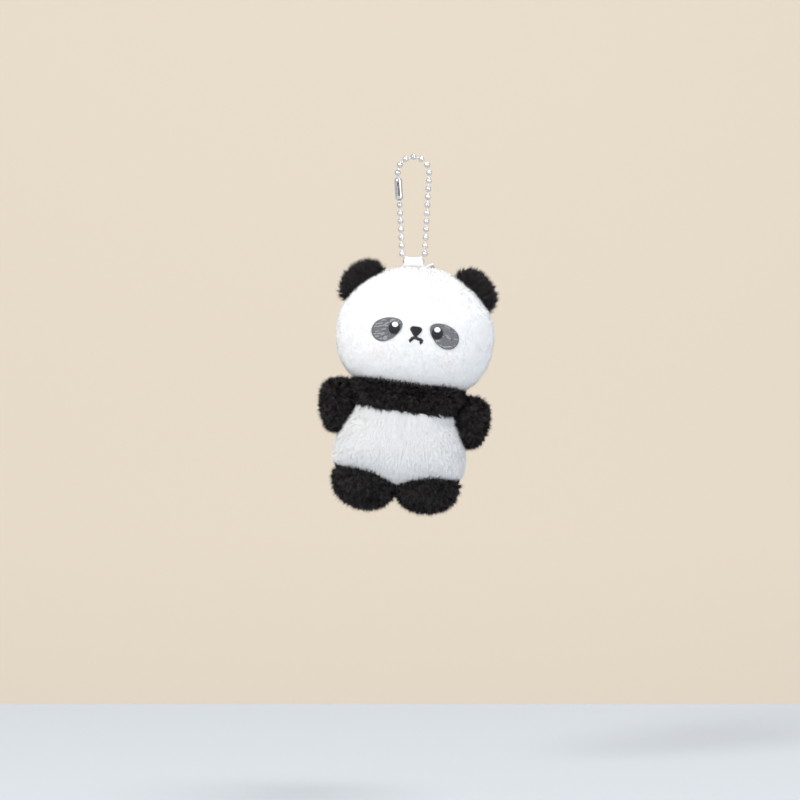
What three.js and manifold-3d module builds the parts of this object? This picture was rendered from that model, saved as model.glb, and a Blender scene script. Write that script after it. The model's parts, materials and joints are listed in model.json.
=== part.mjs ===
// A small stuffed animal on a ball chain, hanging from the top of its chain loop.
// Millimetres, +Z up, the face looks towards -Y.
// The origin is the point of the top ball that rests on whatever the chain hangs from.
import * as THREE from 'three';
import { mergeVertices } from 'three/addons/utils/BufferGeometryUtils.js';
import Module from 'manifold-3d';

const wasm = await Module();
wasm.setup();
const radians = THREE.MathUtils.degToRad;

// ---------------------------------------------------------------------------
// Driving dimensions
// ---------------------------------------------------------------------------
const CLEARANCE = 0.3;          // gap between neighbouring sewn pieces
const THREAD_GAP = 0.2;         // gap under each layer of embroidery
const FABRIC = 1.3;             // plush fabric with its packed pile

// Ball chain
const BALL_RADIUS = 1.2;
const PITCH = 3.25;             // from ball to ball
const ARC_LINKS = 3;            // links from the top ball to the top of each strand
const STRAND_LINKS = 10;        // links down each strand
const BOTTOM_SLOPE = 10;        // degrees, the sag of the run inside the ribbon
const BALL_WALL = 0.35;         // metal around a ball's pocket
const TOP_BALL_WALL = 0.2;      // the top ball holds two rods, so its wall is thinner
const ROD_RADIUS = 0.2;
const ROD_PLAY = 0.2;           // between a rod's bulb and the pocket that holds it
const MOUTH_LIP = 0.05;         // how much the mouth is narrower than the bulb it keeps in
const CHAIN_SIDES = 8;
const SHOULDER_ANGLES = [20, 47];  // degrees above a ball's equator, the places of its rings
const IN_LINE = radians(1);     // a link this straight is turned in one piece
const BULB_SHARE = [0.9, 0.4];  // a bulb's rim, of its radius: around and along the rod

// Connector that closes the chain
const CONNECTOR_TOP = 4;        // link number held in its upper end
const CONNECTOR_BOTTOM = 6;     // link number held in its lower end
const CONNECTOR_WALL = 0.25;
const CONNECTOR_PLAY = 0.12;    // between a held ball and the connector
const CONNECTOR_SLOT = 0.9;     // width of the front slot
const CONNECTOR_SIDES = 12;

// Ribbon loop sewn into the head's top seam
const RIBBON_WIDTH = 6;
const RIBBON_THICKNESS = 0.5;
const RIBBON_PLAY = 0.33;       // between the chain's bottom run and the ribbon
const RIBBON_TONGUE = 3.4;      // length sewn into the seam
const RIBBON_OFFSET = -4.4;     // from the head's middle, along the seam
const RIBBON_TILT_LIMIT = 10;   // degrees

// Whole toy
const TOY_TILT = 7.4;           // degrees, hanging clockwise as seen from the front
const HEAD_SHIFT = 1.0;         // head's middle, right of the chain's middle

// Head, from its widest level
const HEAD_HALF_WIDTH = 31;
const HEAD_RISE = 26;           // widest level to crown
const HEAD_DROP = 26;           // widest level to chin
const HEAD_HALF_DEPTH = 17.5;
const HEAD_LEVEL = -1.5;        // widest level, from the head's middle
const CHEEK_FULLNESS = 2.3;     // power of the outline below the widest level; 2 is an ellipse
const HEAD_SWELL = [2, 0.68];   // powers of its fore-aft profile, at the middle and at the seam

// Torso, heights from the head's middle
const SHOULDER_HALF_WIDTH = 19.5;
const WAIST_HALF_WIDTH = 18;
const HIP_HALF_WIDTH = 26;
const TORSO_TOP = -18;
const SHOULDER_LEVEL = -25;
const WAIST_LEVEL = -33;
const HIP_LEVEL = -51.5;
const TORSO_BOTTOM = -64;
const TORSO_HALF_DEPTH = 15;
const CUSHION_SWELL = [3, 0.5]; // powers of the fore-aft profile of the torso and ears
const BAND_BOTTOM = -33.4;      // seam between the dark chest and the light belly

// Limbs: half sizes of each stuffed pouch across, up and fore-aft, and its middle
const ARM_HALF = [7.4, 10.2, 6.4];
const ARM_MIDDLE = [26.2, -35.2];
const ARM_SPREAD = 19;          // degrees, tips outwards
const ARM_SWING = 18;           // degrees, fore and aft
const ARM_HINGE = 20;           // hinge, from the toy's middle
const ARM_ROOT = 20.3;          // where the pouch is sewn on, from the toy's middle
const LEG_HALF = [11.2, 9.6, 8.8];
const LEG_MIDDLE = [13.4, -64.4];
const LEG_SWING = 14;
const LEG_HINGE = -60;
const LEG_ROOT = -57.5;         // top of the pouch, inside the belly's lower edge
const LIMB_WALL = 1.2;

// Ears
const EAR_HALF_LENGTH = 9.2;
const EAR_HEIGHT = 7.6;         // beyond the head's edge
const EAR_HALF_THICKNESS = 2.2;
const EAR_ANGLE = { left: 41, right: 47 };  // degrees from the horizontal, places round the head
const EAR_FOLD = 22;

// Face, places from the head's middle
const EYE_PATCH_HALF = [6.3, 4.2];
const EYE_PATCH_MIDDLE = [11.2, -2];
const EYE_PATCH_TILT = 30;     // degrees, inner end up
const EYE_PATCH_TAPER = 0.22;   // outer end wider than the middle
const PUPIL_HALF = [2.15, 2.5];
const PUPIL_MIDDLE = [8.4, -1.3];
const EYE_LIGHT_HALF = [1.25, 0.9];
const EYE_LIGHT_MIDDLE = [8.2, 0];
const NOSE_HALF = [2.1, 1.7];
const NOSE_TAPER = 0.35;        // wider at the top by this share
const NOSE_MIDDLE = [0.2, -1];
const MOUTH_STROKE = 0.4;       // half its width
const MOUTH_DROP = 2.2;         // length of the stem under the nose
const MOUTH_REACH = [1.6, 1.4];  // each stroke from the stem, sideways and down
const EMBROIDERY = 0.4;         // thickness of each layer

// Care label
const LABEL_SIZE = [4.6, 5, 0.5];
const LABEL_OFFSET = 3;         // from the head's middle, along the seam
const LABEL_RISE = 2;           // above the crown
const LABEL_TILT = -14;         // degrees

// Mesh fineness
const OUTLINE_STEPS = 30;
const EAR_STEPS = 16;
const RINGS = [1, 0.93, 0.76, 0.45];
const LIMB_STEPS = [12, 8];

// ---------------------------------------------------------------------------
// Helpers
// ---------------------------------------------------------------------------
function solid(geometry) {
  const bare = geometry.clone();
  bare.deleteAttribute('normal');
  bare.deleteAttribute('uv');
  const merged = mergeVertices(bare, 1e-5);
  return new wasm.Manifold(new wasm.Mesh({
    numProp: 3,
    vertProperties: new Float32Array(merged.attributes.position.array),
    triVerts: new Uint32Array(merged.index.array),
  }));
}

function geometryOf(manifold) {
  const mesh = manifold.getMesh();
  const geometry = new THREE.BufferGeometry();
  geometry.setAttribute('position', new THREE.BufferAttribute(mesh.vertProperties, 3));
  geometry.setIndex(new THREE.BufferAttribute(mesh.triVerts, 1));
  geometry.computeVertexNormals();
  return geometry;
}

function blockFrom(low, high) {
  const geometry = new THREE.BoxGeometry(high[0] - low[0], high[1] - low[1], high[2] - low[2]);
  geometry.translate((low[0] + high[0]) / 2, (low[1] + high[1]) / 2, (low[2] + high[2]) / 2);
  return solid(geometry);
}

// Turns a solid about an axis through a point.
function turned(manifold, axis, degrees, pivot) {
  const matrix = new THREE.Matrix4().makeTranslation(...pivot);
  matrix.multiply(new THREE.Matrix4().makeRotationAxis(axis, radians(degrees)));
  matrix.multiply(new THREE.Matrix4().makeTranslation(-pivot[0], -pivot[1], -pivot[2]));
  return solid(geometryOf(manifold).applyMatrix4(matrix));
}

// Cuts away what a neighbour sweeps as this piece swings about an axis.
function clearOf(piece, neighbour, axis, limit, pivot) {
  let kept = piece;
  for (const share of [-1, -0.5, 0, 0.5, 1]) {
    kept = kept.subtract(turned(neighbour, axis, share * limit, pivot));
  }
  return kept;
}

const X_AXIS = new THREE.Vector3(1, 0, 0);
const Y_AXIS = new THREE.Vector3(0, 1, 0);
const Z_AXIS = new THREE.Vector3(0, 0, 1);
const FAR = 200;
const frontHalf = blockFrom([-FAR, -FAR, -FAR], [FAR, -CLEARANCE / 2, FAR]);
const backHalf = blockFrom([-FAR, CLEARANCE / 2, -FAR], [FAR, FAR, FAR]);

// A stuffed form: an outline in XZ that swells fore and aft towards its middle.
// `grow` moves its whole surface outwards, or inwards when it is negative.
function stuffed({ outline, middle, halfDepth, swell }, grow = 0) {
  const spots = [];
  for (const ring of RINGS) {
    for (const side of ring === 1 ? [0] : [-1, 1]) {
      for (const [x, z] of outline) {
        const reach = Math.hypot(x - middle[0], z - middle[1]);
        const scale = ring * (reach + grow) / reach;
        const depth = (halfDepth + grow) * (1 - ring ** swell[0]) ** swell[1];
        spots.push(middle[0] + (x - middle[0]) * scale);
        spots.push(side * depth);
        spots.push(middle[1] + (z - middle[1]) * scale);
      }
    }
  }
  spots.push(middle[0], -(halfDepth + grow), middle[1]);
  spots.push(middle[0], halfDepth + grow, middle[1]);

  const count = outline.length;
  const ringStart = (ring, side) => (ring === 0 ? 0 : count * (2 * ring - 1 + side));
  const faces = [];
  for (const side of [0, 1]) {
    const tip = spots.length / 3 - 2 + side;
    for (let i = 0; i < count; i += 1) {
      const next = (i + 1) % count;
      const corner = (a, b, c) => faces.push(...(side === 0 ? [a, b, c] : [a, c, b]));
      for (let ring = 0; ring < RINGS.length - 1; ring += 1) {
        const outer = ringStart(ring, side);
        const inner = ringStart(ring + 1, side);
        corner(outer + i, outer + next, inner + next);
        corner(outer + i, inner + next, inner + i);
      }
      const last = ringStart(RINGS.length - 1, side);
      corner(last + i, last + next, tip);
    }
  }
  const geometry = new THREE.BufferGeometry();
  geometry.setAttribute('position', new THREE.Float32BufferAttribute(spots, 3));
  geometry.setIndex(faces);
  return solid(geometry);
}

// Closed outline points, anticlockwise in XZ, from a function of the turn angle.
function outlineOf(place, steps = OUTLINE_STEPS) {
  return Array.from({ length: steps }, (_, i) => place((i / steps) * 2 * Math.PI));
}

// A prism through the face: an XZ outline swept along Y.
function facePrism(outline) {
  const shape = new THREE.Shape(outline.map(([x, z]) => new THREE.Vector2(x, z)));
  const geometry = new THREE.ExtrudeGeometry(shape, { depth: FAR, bevelEnabled: false });
  return solid(geometry.rotateX(Math.PI / 2));
}

function material(color, roughness, metalness = 0) {
  return new THREE.MeshStandardMaterial({ color, roughness, metalness });
}

const keychain = new THREE.Group();
const toy = new THREE.Group();
keychain.add(toy);

function add(parent, name, manifold, finish) {
  const mesh = new THREE.Mesh(geometryOf(manifold), finish);
  mesh.name = name;
  parent.add(mesh);
  return mesh;
}

const finishes = {
  steel: () => material(0xd8d8dc, 0.18, 1),
  ribbon: () => material(0xf6f6f4, 0.7),
  label: () => material(0xf2f2f0, 0.5),
  whitePlush: () => material(0xf7f6f4, 0.95),
  blackPlush: () => material(0x17141a, 0.95),
  stuffing: () => material(0xeeeeea, 1),
  greyThread: () => material(0x77777d, 0.6),
  blackThread: () => material(0x241f28, 0.6),
  whiteThread: () => material(0xfafafa, 0.6),
};

// ---------------------------------------------------------------------------
// Ball chain
// ---------------------------------------------------------------------------
const arcStep = Math.PI / 2 / ARC_LINKS;
const arcRadius = PITCH / (2 * Math.sin(arcStep / 2));
const strandBottomX = RIBBON_WIDTH / 2 + BALL_RADIUS + CLEARANCE;
const cornerX = PITCH * Math.cos(radians(BOTTOM_SLOPE));
const cornerDrop = Math.sqrt(PITCH ** 2 - (strandBottomX - cornerX) ** 2);
const lastLink = ARC_LINKS + STRAND_LINKS;

// Middle of ball number `link` on the right (side 1) or left (side -1) strand; 0 is the top ball.
function ballMiddle(side, link) {
  if (link <= ARC_LINKS) {
    const angle = link * arcStep;
    const x = side * arcRadius * Math.sin(angle);
    return new THREE.Vector3(x, 0, BALL_RADIUS - arcRadius * (1 - Math.cos(angle)));
  }
  const strandRun = STRAND_LINKS * PITCH;
  const drop = Math.sqrt(strandRun ** 2 - (arcRadius - strandBottomX) ** 2);
  const share = (link - ARC_LINKS) / STRAND_LINKS;
  const x = THREE.MathUtils.lerp(arcRadius, strandBottomX, share);
  return new THREE.Vector3(side * x, 0, BALL_RADIUS - arcRadius - drop * share);
}

function cornerMiddle(side) {
  const above = ballMiddle(side, lastLink);
  return new THREE.Vector3(side * cornerX, 0, above.z - cornerDrop);
}

const lowestMiddle = cornerMiddle(1).setX(0);
lowestMiddle.z -= PITCH * Math.sin(radians(BOTTOM_SLOPE));

// A turned form whose profile is [radius, height] pairs, its axis along `direction`.
function turnedForm(profile, direction, sides = CHAIN_SIDES) {
  const points = profile.map(([radius, height]) => new THREE.Vector2(radius, height));
  const geometry = new THREE.LatheGeometry(points, sides);
  const aim = new THREE.Quaternion().setFromUnitVectors(Y_AXIS, direction);
  return solid(geometry.applyQuaternion(aim));
}

// Points on a half circle from the bottom pole to the top pole, poles on the axis.
function halfCircle(radius, steps, lift = 0) {
  return Array.from({ length: steps + 1 }, (_, i) => {
    const angle = (i / steps) * Math.PI;
    const onAxis = i === 0 || i === steps;
    return [onAxis ? 0 : radius * Math.sin(angle), lift - radius * Math.cos(angle)];
  });
}

const pocketRadius = BALL_RADIUS - BALL_WALL;
const bulbRadius = pocketRadius - ROD_PLAY;
const mouthInner = bulbRadius - MOUTH_LIP;
const mouthOuter = bulbRadius;
const onSphere = (radius, around) => Math.sqrt(radius ** 2 - around ** 2);

// Half of a ball's outline, from its equator towards one pole.
const ballShoulder = SHOULDER_ANGLES.map((degrees) => [
  BALL_RADIUS * Math.cos(radians(degrees)),
  BALL_RADIUS * Math.sin(radians(degrees)),
]);

// Profile of a ball's side with the mouth and pocket for the next rod, up its axis.
const pocketProfile = [
  ...ballShoulder,
  [mouthOuter, onSphere(BALL_RADIUS, mouthOuter)],
  [mouthInner, onSphere(pocketRadius, mouthInner)],
  [pocketRadius, 0],
  [mouthInner, -onSphere(pocketRadius, mouthInner)],
  [0, -pocketRadius],
];
const closedProfile = [...ballShoulder, [0, BALL_RADIUS]];

// Profile of a rod up its axis: its bulb sits in the middle of the ball it holds.
function rodProfile(start, reach, bulb) {
  return [
    [ROD_RADIUS, start],
    [ROD_RADIUS, reach - onSphere(bulb, ROD_RADIUS)],
    [bulb * BULB_SHARE[0], reach - bulb * BULB_SHARE[1]],
    [bulb * BULB_SHARE[0], reach + bulb * BULB_SHARE[1]],
    [0, reach + bulb],
  ];
}

const below = (profile) => profile.map(([radius, height]) => [radius, -height]).reverse();

// One ball, with a pocket for the next rod and rods of its own into the balls before it.
function chainLink(rods, mouth) {
  const [first] = rods;
  const inLine = first && mouth && first.direction.angleTo(mouth) > Math.PI - IN_LINE;
  if (inLine) {
    const rod = rodProfile(onSphere(BALL_RADIUS, ROD_RADIUS), first.reach, first.bulb);
    return turnedForm([...below([...ballShoulder, ...rod]), ...pocketProfile], mouth);
  }
  const upper = mouth ? pocketProfile : closedProfile;
  let link = turnedForm([...below(closedProfile), ...upper], mouth ?? Z_AXIS);
  for (const { direction, reach, bulb } of rods) {
    const start = BALL_RADIUS - BALL_WALL / 2;
    link = link.add(turnedForm([[0, start], ...rodProfile(start, reach, bulb)], direction));
  }
  return link;
}

const toward = (from, to) => to.clone().sub(from).normalize();

function addLink(name, middle, rodTargets, mouthTarget) {
  const rods = rodTargets.map(({ target, short = 0, bulb = bulbRadius }) => ({
    direction: toward(middle, target),
    reach: middle.distanceTo(target) - short,
    bulb,
  }));
  const mouth = mouthTarget && toward(middle, mouthTarget);
  const mesh = add(keychain, name, chainLink(rods, mouth), finishes.steel());
  mesh.position.copy(middle);
}

// The top ball is a hollow shell that both strands' first rods end in.
const topMiddle = ballMiddle(1, 0);
const topInner = BALL_RADIUS - TOP_BALL_WALL;
const topBulb = (topInner - ROD_PLAY) / 2;

function addTopBall() {
  let ball = turnedForm(halfCircle(BALL_RADIUS, 6), Z_AXIS);
  ball = ball.subtract(turnedForm(halfCircle(topInner, 6), Z_AXIS));
  for (const side of [-1, 1]) {
    const out = toward(topMiddle, ballMiddle(side, 1));
    const hole = [[0, 0], [topBulb, 0], [topBulb, BALL_RADIUS * 1.1], [0, BALL_RADIUS * 1.1]];
    ball = ball.subtract(turnedForm(hole, out));
  }
  const mesh = add(keychain, 'chain_ball_top', ball, finishes.steel());
  mesh.position.copy(topMiddle);
}

function addStrand(side, label) {
  for (let link = 1; link <= lastLink; link += 1) {
    const isLeft = side === -1;
    if (isLeft && link > CONNECTOR_TOP && link < CONNECTOR_BOTTOM) continue;
    const above = { target: ballMiddle(side, link - 1) };
    const rods = [link === 1 ? { ...above, short: topInner / 2, bulb: topBulb } : above];
    const next = link === lastLink ? cornerMiddle(side) : ballMiddle(side, link + 1);
    const name = `chain_ball_${label}_${String(link).padStart(2, '0')}`;
    const endsAtClasp = isLeft && link === CONNECTOR_TOP;
    const startsAtClasp = isLeft && link === CONNECTOR_BOTTOM;
    addLink(name, ballMiddle(side, link), startsAtClasp ? [] : rods, endsAtClasp ? null : next);
  }
  const corner = cornerMiddle(side);
  const above = { target: ballMiddle(side, lastLink) };
  addLink(`chain_ball_corner_${label}`, corner, [above], lowestMiddle);
}

function addBottomBall() {
  const rods = [{ target: cornerMiddle(-1) }, { target: cornerMiddle(1) }];
  addLink('chain_ball_bottom', lowestMiddle, rods, null);
}

// ---------------------------------------------------------------------------
// Connector: a capsule shell open along its front, holding one end ball at each end
// ---------------------------------------------------------------------------
function addConnector() {
  const top = ballMiddle(-1, CONNECTOR_TOP);
  const bottom = ballMiddle(-1, CONNECTOR_BOTTOM);
  const span = top.distanceTo(bottom);
  const inner = BALL_RADIUS + CONNECTOR_PLAY;
  const outer = inner + CONNECTOR_WALL;
  const capsule = (radius) => {
    const lower = halfCircle(radius, 8, -span).slice(0, 5);
    const upper = halfCircle(radius, 8).slice(4);
    return turnedForm([...lower, ...upper], Z_AXIS, CONNECTOR_SIDES);
  };
  const halfSlot = CONNECTOR_SLOT / 2;
  const rodSlot = ROD_RADIUS + CLEARANCE;
  let shell = capsule(outer).subtract(capsule(inner));
  shell = shell.subtract(blockFrom([-halfSlot, -outer * 2, -span], [halfSlot, 0, 0]));
  const mouthLow = -span - inner;
  shell = shell.subtract(blockFrom([-inner, -outer * 2, mouthLow], [inner, -ROD_RADIUS, -span + 2 * inner]));
  shell = shell.subtract(blockFrom([-rodSlot, -outer * 2, -span - outer * 2], [rodSlot, rodSlot, -span]));
  const notch = inner / 3;
  shell = shell.subtract(blockFrom([-rodSlot, -outer * 2, notch], [rodSlot, outer * 2, outer * 2]));
  const mesh = add(keychain, 'chain_connector', shell, finishes.steel());
  mesh.position.copy(top);
  mesh.quaternion.setFromUnitVectors(Z_AXIS, toward(bottom, top));
}

// ---------------------------------------------------------------------------
// Ribbon loop: a ring round the chain's bottom run and a doubled tongue in the seam
// ---------------------------------------------------------------------------
const ribbonMiddleZ = (cornerMiddle(1).z + lowestMiddle.z) / 2;
const ribbonInner = BALL_RADIUS + (cornerMiddle(1).z - lowestMiddle.z) / 2 + RIBBON_PLAY;
const ribbonOuter = ribbonInner + RIBBON_THICKNESS;
const seamTopZ = ribbonMiddleZ - ribbonInner;

function ribbonOutline(grow) {
  const half = RIBBON_THICKNESS + grow;
  const radius = ribbonOuter + grow;
  const shape = new THREE.Shape();
  const meet = Math.asin(half / radius);
  shape.absarc(0, 0, radius, -Math.PI / 2 + meet, Math.PI * 1.5 - meet, false);
  shape.lineTo(-half, -ribbonOuter - RIBBON_TONGUE - grow);
  shape.lineTo(half, -ribbonOuter - RIBBON_TONGUE - grow);
  return shape;
}

// The ribbon's outline is drawn in YZ about the ring's middle and swept along X.
function ribbonSolid(shape, width) {
  const geometry = new THREE.ExtrudeGeometry(shape, { depth: width, bevelEnabled: false, curveSegments: 16 });
  geometry.translate(0, 0, -width / 2);
  geometry.rotateX(Math.PI / 2);
  geometry.rotateZ(Math.PI / 2);
  return solid(geometry);
}

function addHangingLoop() {
  const shape = ribbonOutline(0);
  const hole = new THREE.Path();
  hole.absarc(0, 0, ribbonInner, 0, Math.PI * 2, true);
  shape.holes.push(hole);
  const mesh = add(keychain, 'hanging_loop', ribbonSolid(shape, RIBBON_WIDTH), finishes.ribbon());
  mesh.position.set(0, 0, ribbonMiddleZ);
}

// ---------------------------------------------------------------------------
// Head
// ---------------------------------------------------------------------------
const headForm = {
  outline: outlineOf((angle) => {
    const power = Math.sin(angle) < 0 ? 2 / CHEEK_FULLNESS : 1;
    const part = (value) => Math.sign(value) * Math.abs(value) ** power;
    const height = Math.sin(angle) < 0 ? HEAD_DROP : HEAD_RISE;
    return [HEAD_HALF_WIDTH * part(Math.cos(angle)), HEAD_LEVEL + height * part(Math.sin(angle))];
  }),
  middle: [0, HEAD_LEVEL],
  halfDepth: HEAD_HALF_DEPTH,
  swell: HEAD_SWELL,
};
const crown = HEAD_LEVEL + HEAD_RISE;

// The toy's frame: its origin is the head's middle, and the ribbon meets the seam at the crown.
const seamHeight = HEAD_LEVEL + HEAD_RISE * Math.sqrt(1 - (RIBBON_OFFSET / HEAD_HALF_WIDTH) ** 2);
const tilt = radians(TOY_TILT);
const toySeamX = RIBBON_OFFSET * Math.cos(tilt) + seamHeight * Math.sin(tilt);
const toySeamZ = seamHeight * Math.cos(tilt) - RIBBON_OFFSET * Math.sin(tilt);
toy.position.set(HEAD_SHIFT, 0, seamTopZ - toySeamZ);
toy.rotation.y = tilt;
toy.updateMatrixWorld();

// What the ribbon needs in the seam as the toy tilts on it, in the toy's frame.
function ribbonRoom() {
  const room = ribbonSolid(ribbonOutline(CLEARANCE), RIBBON_WIDTH + 2 * CLEARANCE);
  const placed = geometryOf(room).translate(0, 0, ribbonMiddleZ);
  const local = solid(placed.applyMatrix4(toy.matrixWorld.clone().invert()));
  const pivot = new THREE.Vector3(0, 0, seamTopZ).applyMatrix4(toy.matrixWorld.clone().invert());
  let swept = local;
  for (const share of [-1, -0.5, 0.5, 1]) {
    swept = swept.add(turned(local, Y_AXIS, share * RIBBON_TILT_LIMIT, pivot.toArray()));
  }
  return swept;
}

function labelSolid(grow) {
  const [width, height, thickness] = LABEL_SIZE;
  const geometry = new THREE.BoxGeometry(width + 2 * grow, thickness + 2 * grow, height + 2 * grow);
  geometry.rotateY(radians(LABEL_TILT));
  geometry.translate(LABEL_OFFSET, 0, crown + LABEL_RISE - height / 2);
  return solid(geometry);
}

function addHead() {
  const seamRoom = ribbonRoom().add(labelSolid(CLEARANCE));
  const cover = stuffed(headForm).subtract(stuffed(headForm, -FABRIC)).subtract(seamRoom);
  add(toy, 'head_front_panel', cover.intersect(frontHalf), finishes.whitePlush());
  add(toy, 'head_back_panel', cover.intersect(backHalf), finishes.whitePlush());
  const filling = stuffed(headForm, -FABRIC - CLEARANCE).subtract(seamRoom);
  add(toy, 'head_stuffing', filling, finishes.stuffing());
  add(toy, 'care_label', labelSolid(0), finishes.label());
}

// ---------------------------------------------------------------------------
// Ears
// ---------------------------------------------------------------------------
function addEar(side, label) {
  const angle = radians(EAR_ANGLE[label]);
  const out = [side * Math.cos(angle), Math.sin(angle)];
  const along = [Math.sin(angle), -side * Math.cos(angle)];
  const root = [side * HEAD_HALF_WIDTH * Math.cos(angle), HEAD_LEVEL + HEAD_RISE * Math.sin(angle)];
  const form = {
    outline: outlineOf((turn) => {
      const across = EAR_HALF_LENGTH * Math.cos(turn);
      const up = EAR_HEIGHT * Math.sin(turn);
      return [root[0] + across * along[0] + up * out[0], root[1] + across * along[1] + up * out[1]];
    }, EAR_STEPS),
    middle: root,
    halfDepth: EAR_HALF_THICKNESS,
    swell: CUSHION_SWELL,
  };
  const hinge = new THREE.Vector3(along[0], 0, along[1]);
  const head = stuffed(headForm, CLEARANCE);
  const flap = clearOf(stuffed(form), head, hinge, EAR_FOLD, [root[0], 0, root[1]]);
  add(toy, `${label}_ear_front_panel`, flap.intersect(frontHalf), finishes.blackPlush());
  add(toy, `${label}_ear_back_panel`, flap.intersect(backHalf), finishes.blackPlush());
}

// ---------------------------------------------------------------------------
// Torso: dark chest band and light belly, each a front and a back panel
// ---------------------------------------------------------------------------
const NECK_SHARE = 0.7;         // half width just under the top, of the shoulders'
const NECK_DROP = 1.5;
const BOTTOM_SHARE = 0.5;       // half width just above the bottom, of the hips'
const BOTTOM_RISE = 2.3;
const FLANK_SHARE = 0.93;       // half width midway from the hips down, of the hips'
const FLANK_DROP = 0.5;

// Right side of the torso's outline, top to bottom, between its two ends on the middle line.
const torsoRight = [
  [SHOULDER_HALF_WIDTH * NECK_SHARE, TORSO_TOP - NECK_DROP],
  [SHOULDER_HALF_WIDTH, SHOULDER_LEVEL],
  [WAIST_HALF_WIDTH, WAIST_LEVEL],
  [(WAIST_HALF_WIDTH + HIP_HALF_WIDTH) / 2, (WAIST_LEVEL + HIP_LEVEL) / 2],
  [HIP_HALF_WIDTH, HIP_LEVEL],
  [HIP_HALF_WIDTH * FLANK_SHARE, (HIP_LEVEL + TORSO_BOTTOM) / 2 - FLANK_DROP],
  [HIP_HALF_WIDTH * BOTTOM_SHARE, TORSO_BOTTOM + BOTTOM_RISE],
];

function torsoOutline() {
  const left = torsoRight.map(([x, z]) => [-x, z]);
  const round = [[0, TORSO_TOP], ...left, [0, TORSO_BOTTOM], ...torsoRight.toReversed()];
  const curve = new THREE.CatmullRomCurve3(round.map(([x, z]) => new THREE.Vector3(x, 0, z)), true);
  return curve.getSpacedPoints(OUTLINE_STEPS).slice(0, -1).map((point) => [point.x, point.z]);
}

const torsoForm = {
  outline: torsoOutline(),
  middle: [0, (TORSO_TOP + TORSO_BOTTOM) / 2],
  halfDepth: TORSO_HALF_DEPTH,
  swell: CUSHION_SWELL,
};

function addTorso() {
  const head = stuffed(headForm, CLEARANCE);
  const cover = stuffed(torsoForm).subtract(stuffed(torsoForm, -FABRIC)).subtract(head);
  const aboveSeam = blockFrom([-FAR, -FAR, BAND_BOTTOM + CLEARANCE / 2], [FAR, FAR, FAR]);
  const belowSeam = blockFrom([-FAR, -FAR, -FAR], [FAR, FAR, BAND_BOTTOM - CLEARANCE / 2]);
  for (const [half, label] of [[frontHalf, 'front'], [backHalf, 'back']]) {
    const panel = cover.intersect(half);
    add(toy, `chest_band_${label}`, panel.intersect(aboveSeam), finishes.blackPlush());
    add(toy, `belly_${label}_panel`, panel.intersect(belowSeam), finishes.whitePlush());
  }
  const filling = stuffed(torsoForm, -FABRIC - CLEARANCE).subtract(head);
  add(toy, 'body_stuffing', filling, finishes.stuffing());
}

// ---------------------------------------------------------------------------
// Arms and legs: stuffed pouches, open towards the torso
// ---------------------------------------------------------------------------
function pouch(half, middle, spread, side, grow) {
  const geometry = new THREE.SphereGeometry(1, LIMB_STEPS[0], LIMB_STEPS[1]);
  geometry.rotateX(Math.PI / 2);
  geometry.scale(half[0] + grow, half[2] + grow, half[1] + grow);
  geometry.rotateY(-side * radians(spread));
  geometry.translate(side * middle[0], 0, middle[1]);
  return solid(geometry);
}

function addLimb(label, side, { kind, half, middle, spread, axis, limit, pivot, cut }) {
  const torso = stuffed(torsoForm, CLEARANCE);
  const head = stuffed(headForm, CLEARANCE);
  const form = (grow) => {
    const whole = pouch(half, middle, spread, side, grow).subtract(cut);
    return clearOf(clearOf(whole, torso, axis, limit, pivot), head, axis, limit, pivot);
  };
  const hollow = pouch(half, middle, spread, side, -LIMB_WALL);
  add(toy, `${label}_${kind}_cover`, form(0).subtract(hollow), finishes.blackPlush());
  add(toy, `${label}_${kind}_stuffing`, form(-LIMB_WALL - CLEARANCE), finishes.stuffing());
}

function addLimbs(side, label) {
  const inner = side > 0 ? -FAR : -ARM_ROOT;
  const outer = side > 0 ? ARM_ROOT : FAR;
  addLimb(label, side, {
    kind: 'arm', half: ARM_HALF, middle: ARM_MIDDLE, spread: ARM_SPREAD,
    axis: Z_AXIS, limit: ARM_SWING, pivot: [side * ARM_HINGE, 0, ARM_MIDDLE[1]],
    cut: blockFrom([inner, -FAR, -FAR], [outer, FAR, FAR]),
  });
  addLimb(label, side, {
    kind: 'leg', half: LEG_HALF, middle: LEG_MIDDLE, spread: 0,
    axis: X_AXIS, limit: LEG_SWING, pivot: [0, 0, LEG_HINGE],
    cut: blockFrom([-FAR, -FAR, LEG_ROOT], [FAR, FAR, FAR]),
  });
}

// ---------------------------------------------------------------------------
// Embroidered face, in layers that follow the front of the head
// ---------------------------------------------------------------------------
function stitched(outline, layer) {
  const lift = THREAD_GAP + layer * (EMBROIDERY + THREAD_GAP);
  const skin = stuffed(headForm, lift + EMBROIDERY).subtract(stuffed(headForm, lift));
  return facePrism(outline).intersect(skin).intersect(frontHalf);
}

function ellipse([halfWidth, halfHeight], [x, z], steps, tiltDegrees = 0, taper = 0) {
  const cos = Math.cos(radians(tiltDegrees));
  const sin = Math.sin(radians(tiltDegrees));
  return outlineOf((angle) => {
    const across = halfWidth * Math.cos(angle);
    const up = halfHeight * Math.sin(angle) * (1 + taper * Math.cos(angle));
    return [x + across * cos - up * sin, z + across * sin + up * cos];
  }, steps);
}

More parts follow.
